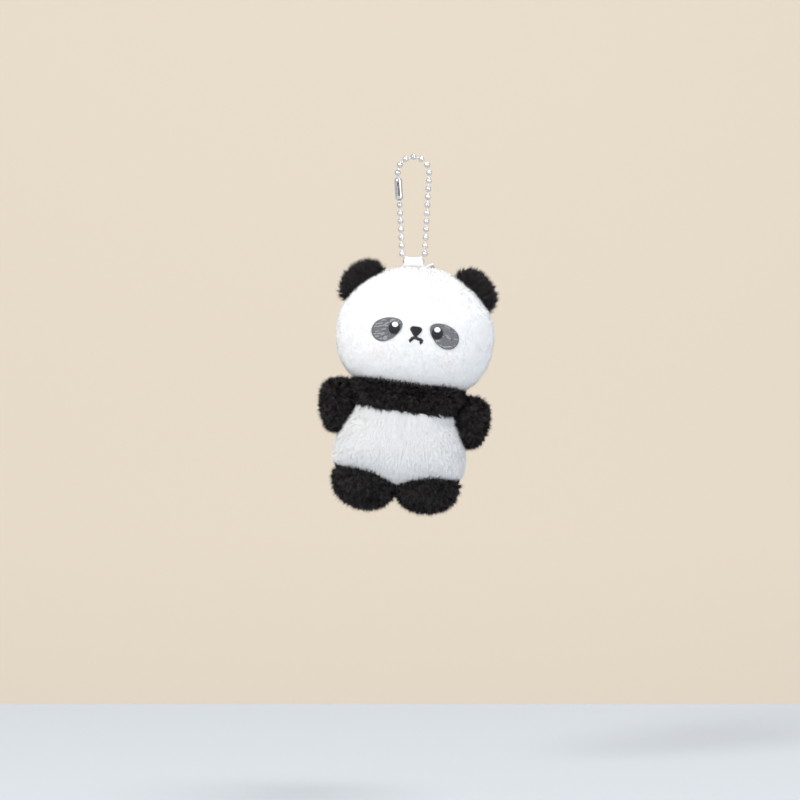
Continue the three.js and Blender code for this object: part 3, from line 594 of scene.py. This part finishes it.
def patch_local(x, z, side):
    """Place within an eye patch as shares of its half sizes: 1 along or across is its edge."""
    tilt = math.radians(PATCH_TILT)
    dx, dz = side * (np.asarray(x) - side * PATCH_MIDDLE[0]), np.asarray(z) - PATCH_MIDDLE[1]
    along = dx * math.cos(tilt) - dz * math.sin(tilt)
    across = dx * math.sin(tilt) + dz * math.cos(tilt)
    return along / PATCH_HALF[0], across / (PATCH_HALF[1] * (1 + PATCH_TAPER * along / PATCH_HALF[0]))


def patch_outline(side, grow=0.0, count=96):
    tilt = math.radians(PATCH_TILT)
    points = []
    for a in np.linspace(0, 2 * np.pi, count, endpoint=False):
        along = (PATCH_HALF[0] + grow) * math.cos(a)
        across = (PATCH_HALF[1] * (1 + PATCH_TAPER * math.cos(a)) + grow) * math.sin(a)
        dx = along * math.cos(tilt) + across * math.sin(tilt)
        dz = -along * math.sin(tilt) + across * math.cos(tilt)
        points.append((side * (PATCH_MIDDLE[0] + dx), PATCH_MIDDLE[1] + dz))
    return points


def ellipse(middle, half, count=48):
    return [(middle[0] + half[0] * math.cos(a), middle[1] + half[1] * math.sin(a))
            for a in np.linspace(0, 2 * np.pi, count, endpoint=False)]


def nose_outline(count=60):
    """A triangle with round corners, its point down."""
    points = []
    for a in np.linspace(0, 2 * np.pi, count, endpoint=False):
        r = 1 + 0.13 * math.cos(3 * (a + math.pi / 2))
        points.append((NOSE_MIDDLE[0] + NOSE_HALF[0] * r * math.cos(a),
                       NOSE_MIDDLE[1] + NOSE_HALF[1] * r * math.sin(a)))
    return points


def inside(points, x, z):
    """True if (x, z) is inside the closed outline."""
    hit = False
    for (x0, z0), (x1, z1) in zip(points, points[1:] + points[:1]):
        if (z0 > z) != (z1 > z) and x < x0 + (z - z0) / (z1 - z0) * (x1 - x0):
            hit = not hit
    return hit


def underlay(outline, lift, rings=6):
    """A flat bed of thread that fills the outline and turns down to the cloth at its edge."""
    middle = np.mean(outline, axis=0)
    verts, faces = [face_point(*middle, lift)], []
    n = len(outline)
    for ring in range(1, rings + 1):
        share = ring / rings
        high = lift if ring < rings else lift * 0.55
        for p in outline:
            verts.append(face_point(*(middle + (np.array(p) - middle) * share), high))
    for p in outline:
        verts.append(face_point(*(middle + (np.array(p) - middle) * 1.01), -0.3))
    for i in range(n):
        j = (i + 1) % n
        faces.append((0, 1 + i, 1 + j))
        for ring in range(rings):
            a, b = 1 + ring * n, 1 + (ring + 1) * n
            faces.append((a + i, b + i, b + j, a + j))
    return np.array(verts), faces


def stitch(a, b, lift, width, steps=6):
    """One thread from a to b over the face, its ends dipping into the cloth."""
    a, b = np.array(a, float), np.array(b, float)
    along = b - a
    across = np.array((-along[1], along[0])) / max(np.hypot(*along), 1e-6) * width / 2
    verts, faces = [], []
    for k in range(steps + 1):
        t = k / steps
        ridge = width * STITCH_BULGE * (1 - (2 * t - 1) ** 4)
        middle = a + along * t
        shrink = 0.55 + 0.45 * (1 - (2 * t - 1) ** 6)
        for share, rise in ((-1, 0), (-0.55, 0.75), (0, 1), (0.55, 0.75), (1, 0)):
            p = middle + across * share * shrink
            verts.append(face_point(*p, lift - STITCH_SINK + ridge * rise))
    for k in range(steps):
        for i in range(4):
            s = k * 5 + i
            faces.append((s, s + 1, s + 6, s + 5))
    return np.array(verts), faces


def fill_stitches(outline, angle, lift, spacing, length, width, bend=0.0):
    """Rows of stitches across the outline in the direction of angle, staggered from row to row."""
    pts = np.array(outline)
    middle = pts.mean(0)
    d = np.array((math.cos(math.radians(angle)), math.sin(math.radians(angle))))
    n = np.array((-d[1], d[0]))
    reach = np.abs((pts - middle) @ n).max()
    span = np.abs((pts - middle) @ d).max()
    parts = []

    def place(s):
        return middle + n * (off + bend * (s / span) ** 2) + d * s

    rows = int(2 * reach / spacing) + 1
    fine = np.linspace(-span, span, 160)
    for row in range(rows):
        off = -reach + (row + 0.5) * 2 * reach / rows
        hits = [k for k, s in enumerate(fine) if inside(outline, *place(s))]
        if len(hits) < 4:
            continue
        start, end = fine[hits[0]], fine[hits[-1]]
        cuts_at = [start]
        s = start + length * ((row * 0.37) % 1.0)
        while s < end - 0.35 * length:
            if s > start + 0.35 * length:
                cuts_at.append(s)
            s += length * rng.uniform(0.85, 1.15)
        cuts_at.append(end)
        for s0, s1 in zip(cuts_at, cuts_at[1:]):
            parts.append(stitch(place(s0), place(s1), lift + rng.uniform(-0.03, 0.03), width))
    return parts


def rim_stitches(outline, lift, inward, spacing, width, sweep):
    """Short stitches side by side round the edge of the outline."""
    pts = np.array(outline + outline[:1])
    middle = pts[:-1].mean(0)
    seg = np.hypot(*np.diff(pts, axis=0).T)
    total = np.concatenate([[0], np.cumsum(seg)])
    parts = []
    count = int(total[-1] / spacing)
    for k in range(count):
        s = total[-1] * k / count
        p = np.array([np.interp(s, total, pts[:, 0]), np.interp(s, total, pts[:, 1])])
        q = np.array([np.interp((s + 0.1) % total[-1], total, pts[:, 0]),
                      np.interp((s + 0.1) % total[-1], total, pts[:, 1])])
        tangent = (q - p) / max(np.hypot(*(q - p)), 1e-9)
        inwards = (middle - p) / np.hypot(*(middle - p))
        normal = np.array((-tangent[1], tangent[0]))
        if normal @ inwards < 0:
            normal = -normal
        end = p + normal * inward * rng.uniform(0.8, 1.1) + tangent * sweep
        parts.append(stitch(p, end, lift, width, steps=4))
    return parts


def thread_piece(name, parts, materials, replaced=(), flecks=0.0):
    """Stitches as one piece; with two materials, a share of the stitches takes the second, lighter one."""
    verts, faces = joined(parts)
    obj = new_object(name, verts, faces, materials, TOY)
    if isinstance(materials, list):
        shade = np.concatenate([np.full(len(f), int(i > 0 and rng.random() < flecks))
                                for i, (_, f) in enumerate(parts)])
        obj.data.polygons.foreach_set("material_index", shade.astype(np.int32))
    return finish_piece(obj, "toy", replaced)


def satin_piece(name, outline, lift, rings, angle, material, replaced):
    """A smooth raised shape of close parallel stitches over an underlay."""
    parts = [underlay(outline, lift - BED_DROP, rings)] + fill_stitches(outline, angle, lift, **SATIN)
    thread_piece(name, parts, material, (replaced,))


for label, side in SIDES:
    outline = patch_outline(side)
    angle = side * (8 - PATCH_TILT)
    bed = underlay(outline, PATCH_LIFT - BED_DROP)
    fill = fill_stitches(patch_outline(side, -0.35), angle, PATCH_LIFT, **PATCH_FILL, bend=0.9)
    thread_piece(f"{label}_patch_fill", [bed] + fill, [GREY_THREAD, FLECK_THREAD],
                 (f"{label}_eye_patch",), FLECK_SHARES[side])
    thread_piece(f"{label}_patch_rim", rim_stitches(outline, PATCH_LIFT + 0.06, **PATCH_RIM),
                 RIM_THREAD)
    pupil = ellipse((side * PUPIL_MIDDLE[0], PUPIL_MIDDLE[1]), PUPIL_HALF)
    satin_piece(f"{label}_pupil_satin", pupil, PUPIL_LIFT, 3, 90, DARK_THREAD,
                f"{label}_pupil")
    light = ellipse((side * HIGHLIGHT_MIDDLE[0], HIGHLIGHT_MIDDLE[1]), HIGHLIGHT_HALF, 28)
    satin_piece(f"{label}_highlight_satin", light, HIGHLIGHT_LIFT, 2, 0, WHITE_THREAD,
                f"{label}_eye_highlight")
satin_piece("nose_satin", nose_outline(), NOSE_LIFT, 3, 0, DARK_THREAD, "nose")
mouth_parts = []
for stroke in MOUTH_STROKES:
    for a, b in zip(stroke, stroke[1:]):
        a, b = np.array(a), np.array(b)
        along = (b - a) / np.hypot(*(b - a))
        across = np.array((-along[1], along[0])) * MOUTH_HALF_WIDTH
        steps = max(2, int(np.hypot(*(b - a)) / MOUTH_STEP))
        for k in range(steps + 1):
            p = a + (b - a) * k / steps
            reach = across + along * MOUTH_SLANT
            mouth_parts.append(stitch(p - reach, p + reach, MOUTH_LIFT, MOUTH_THREAD, steps=4))
thread_piece("mouth_stitches", mouth_parts, DARK_THREAD, ("mouth",))


def on_face_trim(points):
    """True for points under the embroidery, where the pile is sewn flat."""
    x, z = points[:, 0], points[:, 2]
    hit = np.zeros(len(points), bool)
    for _, side in SIDES:
        u, v = patch_local(x, z, side)
        hit |= u ** 2 + v ** 2 < 1.0
    hit |= ((x - NOSE_MIDDLE[0]) / NOSE_HALF[0]) ** 2 + ((z - NOSE_MIDDLE[1]) / NOSE_HALF[1]) ** 2 < 1.0
    for stroke in MOUTH_STROKES:
        for a, b in zip(stroke, stroke[1:]):
            a, b = np.array(a), np.array(b)
            p = np.stack([x, z], axis=1) - a
            t = np.clip(p @ (b - a) / ((b - a) @ (b - a)), 0, 1)
            hit |= np.hypot(*(p - t[:, None] * (b - a)).T) < MOUTH_BARE
    return hit & (points[:, 1] < 0)


RIBBON_OFFSET = -4.4
COVERED_DEPTH = 0.6      # no pile grows deeper than this inside a neighbour


def under_ribbon(points):
    """True where the ribbon comes out of the top seam."""
    near_top = points[:, 2] > HEAD_LEVEL + HEAD_RISE - 5
    near_seam = np.abs(points[:, 1]) < 0.6
    return near_top & near_seam & (np.abs(points[:, 0] - RIBBON_OFFSET) < RIBBON_WIDTH / 2)


def bare_head(points):
    return on_face_trim(points) | under_ribbon(points) | (TORSO.depth_inside(points) > COVERED_DEPTH)


def bare_body(points):
    return HEAD.depth_inside(points) > COVERED_DEPTH


HEM_REACH, HEM_LIFT = 2.8, 3.0     # pile within this reach of a covering edge stands up over it
BLUSH_MIDDLE, BLUSH_RADIUS, BLUSH_SHARE = (14.5, -11.5), 5.5, 0.8


def blushed(points, shade):
    """Pink strands under the eyes, fewer towards the edge of each cheek."""
    away = np.hypot(np.abs(points[:, 0]) - BLUSH_MIDDLE[0], points[:, 2] - BLUSH_MIDDLE[1]) / BLUSH_RADIUS
    share = np.clip(1 - away, 0, 1) * BLUSH_SHARE
    pink = (rng.random(len(points)) < share) & (points[:, 1] < 0)
    return np.where(pink, 3 + (shade > 0), shade)


FACE_FUR = WHITE_FUR + BLUSH_FUR


def head_comb(points):
    """Down, and outwards towards the sides."""
    out = np.stack([points[:, 0], 0 * points[:, 0], points[:, 2] - HEAD_LEVEL], axis=1) / HEAD_HALF_WIDTH
    return 0.6 * out + np.array((0, 0, -0.7))


def band_comb(points):
    """The band's pile stands up over the chin and lies down over the belly."""
    near_chin = HEAD.depth_inside(points) > -HEM_REACH
    z = np.where(near_chin, HEM_LIFT, -0.8)
    return np.stack([0 * z, -0.3 * near_chin * np.sign(-points[:, 1]), z], axis=1)


HEAD_PILE = {"comb": head_comb, "flow": 0.8, "mess": 0.04, "gather": 0.05, "bare": bare_head}
BELLY_PILE = {"length": 1.7, "flow": 1.2, "mess": 0.14, "clump": 1.1, "gather": 0.5, "soft": 0.6,
              "guard": 0.1}
BLACK_PILE = {"clump": 1.0, "soft": 0.35}
BAND_PILE = {**BLACK_PILE, "length": 2.2, "comb": band_comb, "flow": 0.7, "mess": 0.4, "gather": 0.6,
             "bare": bare_body, "guard": 0.3}

for name, skin, shades, count, width, pile in (
        ("head_front", head_front, FACE_FUR, 64000, 0.11, {**HEAD_PILE, "length": 1.15, "pick": blushed}),
        ("head_back", head_back, WHITE_FUR, 46000, 0.13, {**HEAD_PILE, "length": 1.2}),
        ("belly_front", cuts["belly_front_panel"], WHITE_FUR, 56000, 0.13, BELLY_PILE),
        ("belly_back", cuts["belly_back_panel"], WHITE_FUR, 38000, 0.15, BELLY_PILE),
        ("band_front", cuts["chest_band_front"], BLACK_FUR, 32000, 0.14, BAND_PILE),
        ("band_back", cuts["chest_band_back"], BLACK_FUR, 20000, 0.16, BAND_PILE)):
    slot = "black_plush" if shades is BLACK_FUR else "white_plush"
    fur_piece(f"{name}_fur", skin, "toy", slot, shades, count=count, width=width, **pile)

# ===== Arms, legs and ears =====
SEWN_DEPTH = 1.2         # a limb's or ear's pile stops this deep in the part that it is sewn to


def shrunk(half, by):
    return tuple(h - by for h in half)


def in_torso(points):
    return TORSO.depth_inside(points) > SEWN_DEPTH


def limb_comb(points):
    """Up over the belly's hem, and down elsewhere."""
    near_hem = (TORSO.depth_inside(points) > -HEM_REACH) & (points[:, 2] < HIP[1])
    z = np.where(near_hem, HEM_LIFT, -0.6)
    return np.stack([0 * z, 0 * z, z], axis=1)


LIMB_PILE = {**BLACK_PILE, "length": 2.2, "width": 0.14, "comb": limb_comb, "flow": 0.5, "mess": 0.45,
             "gather": 0.7, "bare": in_torso, "guard": 0.25}

for body, (half, middle, lean, taper) in LIMBS.items():
    side = -1 if body.startswith("left") else 1
    pouch = inflated(body, *limb_surface(shrunk(half, -SKIN_INSET), middle, lean, taper, side), voxel=1.2)
    skin_piece(f"{body}_skin", pouch, BLACK_SKIN, body, (f"{body}_cover",))
    core = limb_surface(shrunk(half, WALL - SKIN_INSET), middle, lean, taper, side, 24, 14)
    filling(f"{body}_filling", *core, body, f"{body}_stuffing")
    fur_piece(f"{body}_fur", pouch, body, "black_plush", BLACK_FUR, count=27000, **LIMB_PILE)


def in_head(points):
    return HEAD.depth_inside(points) > SEWN_DEPTH


EAR_PILE = {**BLACK_PILE, "length": 2.4, "width": 0.13, "flow": 1.0, "mess": 0.3, "gather": 0.6,
            "bare": in_head, "guard": 0.35}

for label, side in SIDES:
    body = f"{label}_ear"
    flap = inflated(body, *ear_form(side).surface(60, 10, -0.2), voxel=0.6, cap=0.5)
    for half, keep in HALVES:
        panel, node = part_of(*flap, keep), f"{body}_{half}_panel"
        skin_piece(f"{body}_{half}_skin", panel, BLACK_SKIN, body, (node,))
        fur_piece(f"{body}_{half}_fur", panel, body, "black_plush", BLACK_FUR,
                  count=11000, comb=(side * 0.7, 0, 0.7), **EAR_PILE)

# ===== Ball chain =====
STRAND_BOTTOM_X = RIBBON_WIDTH / 2 + BALL_RADIUS + 0.3
ARC_STEP = math.radians(30)
ROD_RADIUS, ROD_HEAD_RADIUS, HOLE_RADIUS = 0.22, 0.42, 0.6


def ball_places():
    """Middles in the XZ plane of the top ball, one strand down to its corner, and the bottom ball."""
    radius = PITCH / 2 / math.sin(ARC_STEP / 2)
    places = [(radius * math.sin(i * ARC_STEP), BALL_RADIUS - radius + radius * math.cos(i * ARC_STEP))
              for i in range(ARC_LINKS + 1)]
    x0, z0 = places[-1]
    lean = (STRAND_BOTTOM_X - x0) / STRAND_LINKS
    drop = math.sqrt(PITCH ** 2 - lean ** 2)
    places += [(x0 + lean * i, z0 - drop * i) for i in range(1, STRAND_LINKS + 1)]
    slope = math.radians(BOTTOM_SLOPE)
    corner_x = PITCH * math.cos(slope)
    corner_z = places[-1][1] - math.sqrt(PITCH ** 2 - (places[-1][0] - corner_x) ** 2)
    return places + [(corner_x, corner_z), (0, corner_z - PITCH * math.sin(slope))]


PLACES = ball_places()


def turned_profile(profile, start, end, steps=28):
    """A lathe of (distance along, radius) pairs about the line from start towards end."""
    start, end = np.array(start, float), np.array(end, float)
    axis = (end - start) / np.linalg.norm(end - start)
    side = np.array((0.0, 1.0, 0.0))
    third = np.cross(axis, side)
    verts, faces = [], []
    for s, r in profile:
        for k in range(steps):
            a = 2 * math.pi * k / steps
            verts.append(start + axis * s + (side * math.cos(a) + third * math.sin(a)) * r)
    for row in range(len(profile) - 1):
        for k in range(steps):
            j = (k + 1) % steps
            a, b = row * steps, (row + 1) * steps
            faces.append((a + k, a + j, b + j, b + k))
    return np.array(verts), faces


def ball_profile():
    """A hollow bead with a rolled lip round the hole at each end."""
    hole = math.asin(HOLE_RADIUS / BALL_RADIUS)
    rim = BALL_RADIUS * math.cos(hole)
    lip = [(rim - 0.12, HOLE_RADIUS * 0.86), (rim - 0.35, HOLE_RADIUS * 0.85)]
    outside = [(-BALL_RADIUS * math.cos(a), BALL_RADIUS * math.sin(a))
               for a in np.linspace(hole, math.pi - hole, 21)]
    return [(-s, r) for s, r in reversed(lip)] + outside + lip


def rod_profile():
    """The rod between two beads, its heads inside them."""
    neck = BALL_RADIUS - 0.55
    head = [(neck - 0.2, 0.0), (neck - 0.2, ROD_HEAD_RADIUS), (neck, ROD_HEAD_RADIUS)]
    half = head + [(neck + 0.1, ROD_RADIUS)]
    return half + [(PITCH - s, r) for s, r in reversed(half)]


def xyz(place, side=1):
    return np.array((side * place[0], 0.0, place[1]))


def chain_link(name, middle, toward, rods):
    """One bead and the rods that belong to it; the bead's hole axis points toward a place."""
    parts = [turned_profile(ball_profile(), middle, toward)]
    parts += [turned_profile(rod_profile(), middle, other, 12) for other in rods]
    verts, faces = joined(parts)
    obj = new_object(name.replace("chain_ball", "bead"), verts, faces, STEEL, WORLD)
    return finish_piece(obj, name, (name,))


chain_link("chain_ball_top", xyz(PLACES[0]), xyz(PLACES[0]) + (1, 0, 0), [])
for label, side in SIDES:
    for link in range(1, ARC_LINKS + STRAND_LINKS + 1):
        if side < 0 and CONNECTOR_TOP < link < CONNECTOR_BOTTOM:
            continue
        above, here, below = (xyz(PLACES[i], side) for i in (link - 1, link, link + 1))
        rods = [] if side < 0 and link == CONNECTOR_BOTTOM else [above]
        chain_link(f"chain_ball_{label}_{link:02d}", here, here + above - below, rods)
    corner = xyz(PLACES[-2], side)
    above = xyz(PLACES[-3], side)
    chain_link(f"chain_ball_corner_{label}", corner, corner + above - xyz(PLACES[-1]), [above])
bottom = xyz(PLACES[-1])
chain_link("chain_ball_bottom", bottom, bottom + (1, 0, 0), [xyz(PLACES[-2], s) for _, s in SIDES])

# Connector: a rolled sheet-metal sleeve with a slot down its front
SLEEVE_RADIUS, SLEEVE_WALL, SLEEVE_SLOT, SLEEVE_MOUTH = 1.57, 0.22, 0.9, 0.62


def sleeve():
    """Vertices and faces of the sleeve's sheet, from one end's rounded mouth to the other."""
    upper, lower = xyz(PLACES[CONNECTOR_TOP], -1), xyz(PLACES[CONNECTOR_BOTTOM], -1)
    axis = (lower - upper) / np.linalg.norm(lower - upper)
    run = np.linalg.norm(lower - upper)
    front_way = np.array((0.0, -1.0, 0.0))
    third = np.cross(axis, front_way)
    columns, verts = 40, []
    dome = [(SLEEVE_RADIUS * math.sin(a), SLEEVE_RADIUS * math.cos(a))
            for a in np.linspace(0, math.acos(SLEEVE_MOUTH / SLEEVE_RADIUS), 10)]
    rows = [(-s, r) for s, r in reversed(dome)]
    rows += [(run * t, SLEEVE_RADIUS) for t in np.linspace(0.1, 0.9, 9)]
    rows += [(run + s, r) for s, r in dome]
    for s, r in rows:
        gap = math.asin(min(0.95, SLEEVE_SLOT / 2 / r))
        for k in range(columns + 1):
            a = gap + (2 * math.pi - 2 * gap) * k / columns
            verts.append(upper + axis * s + (front_way * math.cos(a) + third * math.sin(a)) * r)
    return verts, sheet_faces(len(rows), columns + 1)


connector = new_object("connector_sleeve", *sleeve(), STEEL, WORLD)
thicken(connector, SLEEVE_WALL, -1)
edge = connector.modifiers.new("edge", "BEVEL")
edge.width = 0.06 * MM
edge.segments = 2
edge.limit_method = "ANGLE"
finish_piece(connector, "chain_connector", ("chain_connector",))

# ===== Ribbon and care label =====
RIBBON_PLAY, RIBBON_WALL = 0.33, 0.42
ring_z = (PLACES[-2][1] + PLACES[-1][1]) / 2
ring_radius = BALL_RADIUS + (PLACES[-2][1] - PLACES[-1][1]) / 2 + RIBBON_PLAY + RIBBON_THICKNESS / 2
seam_z = ring_z - ring_radius
FLARE, DIP, TONGUE, RIBBON_EASE = 1.3, 0.35, 3.4, 0.45


def ribbon_path():
    """The ribbon's line in YZ: up from the seam, round the chain and down again."""
    pinch = RIBBON_THICKNESS / 2 + 0.02
    leg = [(pinch, seam_z - TONGUE + 0.2), (pinch, seam_z - 1.6), (pinch + 0.1, seam_z - 0.9)]
    start = -math.pi / 2 + 0.45
    arc = [(ring_radius * math.cos(a), ring_z + ring_radius * math.sin(a))
           for a in np.linspace(start, math.pi - start, 28)]
    return np.array(leg + arc + [(-y, z) for y, z in reversed(leg)])


def ribbon_mesh():
    """The ribbon swept along its line: dipped over the chain, wider and rippled towards the seam."""
    path = ribbon_path()
    fine = []
    for i in range(len(path) - 1):
        for t in np.linspace(0, 1, 4, endpoint=False):
            fine.append(path[i] + (path[i + 1] - path[i]) * t)
    fine.append(path[-1])
    fine = np.array(fine)
    for _ in range(4):
        fine[1:-1] = (fine[:-2] + 2 * fine[1:-1] + fine[2:]) / 4
    across = np.linspace(-1, 1, 25)
    verts = []
    top = ring_z + ring_radius
    for y, z in fine:
        low = np.clip((ring_z - z) / (ring_z - seam_z), 0, 1) ** 2
        for u in across:
            dip = DIP * (1 - u * u) * np.clip((z - ring_z) / (top - ring_z), 0, 1)
            ripple = 0.05 * math.sin(9 * u + 3 * z) * low
            verts.append((u * (RIBBON_WIDTH / 2 + RIBBON_EASE + FLARE * low), y + ripple, z - dip))
    return verts, sheet_faces(len(fine), len(across))


ribbon = new_object("ribbon_tab", *ribbon_mesh(), RIBBON, WORLD)
thicken(ribbon, RIBBON_WALL)
finish_piece(ribbon, "hanging_loop", ("hanging_loop",))

LABEL_FOLD = (1.6, 0.4, 1.1)     # the fold's middle, its height from the top of the head
LABEL_WIDTH, LABEL_HEIGHT, LABEL_LEAN, LABEL_SLANT, LABEL_WALL = 4.4, 5.0, 48.0, 36.0, 0.12
LABEL_COLUMNS, LEAF_ROWS, FOLD_ROWS = 13, 10, 8
LABEL_FRONT_START = (LABEL_COLUMNS - 1) * (LEAF_ROWS + FOLD_ROWS - 1)     # first face of the front leaf


def label_mesh():
    """A doubled tape, its fold upwards, leaning forwards and to the left."""
    fold = 0.3
    line = [(fold, z) for z in np.linspace(-LABEL_HEIGHT, 0, LEAF_ROWS)]
    line += [(fold * math.cos(a), fold * math.sin(a)) for a in np.linspace(0.3, math.pi - 0.3, FOLD_ROWS)]
    line += [(-fold - 0.25 * (1 - abs(2 * t - 1)), -LABEL_HEIGHT * t) for t in np.linspace(0, 1, LEAF_ROWS)]
    verts = []
    for y, z in line:
        for u in np.linspace(-1, 1, LABEL_COLUMNS):
            curl = 0.35 * u * u
            verts.append((u * LABEL_WIDTH / 2, y - curl, z))
    slant = Matrix.Rotation(-math.radians(LABEL_SLANT), 3, "Y")
    turn = slant @ Matrix.Rotation(math.radians(LABEL_LEAN), 3, "X")
    place = np.array(LABEL_FOLD) + (0, 0, HEAD_LEVEL + HEAD_RISE)
    return np.array(verts) @ np.array(turn).T + place, sheet_faces(len(line), LABEL_COLUMNS)


label = new_object("care_label_tape", *label_mesh(), [LABEL, LABEL_PAINTED_SHADE], TOY)
# The front leaf takes the grey painted shade; the fold and the back leaf stay white
for polygon in label.data.polygons:
    polygon.material_index = int(polygon.index >= LABEL_FRONT_START)
thicken(label, LABEL_WALL)
finish_piece(label, "care_label", ("care_label",))

# ===== Studio: pale floor and wall, soft lights, the camera =====
FLOOR_Z, TABLE_EDGE, WALL_Y, STAGE_REACH = -0.252, 0.34, 2.2, 4.0


def plane(name, corners, color):
    mesh = bpy.data.meshes.new(name)
    mesh.from_pydata(corners, [], [(0, 1, 2, 3)])
    mesh.materials.append(principled(name + "_paint", color, 0.9))
    linked(name, mesh)


reach = STAGE_REACH
plane("floor", [(-reach, -reach, FLOOR_Z), (reach, -reach, FLOOR_Z), (reach, TABLE_EDGE, FLOOR_Z),
                (-reach, TABLE_EDGE, FLOOR_Z)], (0.50, 0.54, 0.59))
plane("wall", [(-reach, WALL_Y, -reach), (reach, WALL_Y, -reach), (reach, WALL_Y, reach),
               (-reach, WALL_Y, reach)], (0.80, 0.70, 0.57))


def area_light(name, place, target, size, power, color):
    data = bpy.data.lights.new(name, "AREA")
    data.shape = "DISK"
    data.size = size
    data.energy = power
    data.color = color
    obj = linked(name, data)
    obj.location = place
    obj.rotation_euler = (Vector(target) - Vector(place)).to_track_quat("-Z", "Y").to_euler()


middle = (0, 0, -0.085)
area_light("key", (-1.3, -1.7, 1.2), middle, 0.9, 48, (1.0, 0.985, 0.96))
area_light("fill", (1.6, -1.6, 0.1), middle, 1.2, 22, (0.88, 0.93, 1.0))
area_light("top", (0.5, 0.1, 1.6), middle, 0.8, 16, (1.0, 0.97, 0.92))

world = bpy.data.worlds.new("studio")
world.use_nodes = True
world.node_tree.nodes["Background"].inputs["Color"].default_value = (0.96, 0.97, 1.0, 1)
world.node_tree.nodes["Background"].inputs["Strength"].default_value = 0.62
bpy.context.scene.world = world
bpy.context.scene.view_settings.view_transform = "Standard"

camera_data = bpy.data.cameras.new("camera")
camera_data.lens = 135
camera_data.sensor_width = 36
camera = linked("camera", camera_data)
camera.location = (-0.0054, -1.2, -0.096)
camera.rotation_euler = (math.radians(90), 0, 0)
bpy.context.scene.camera = camera
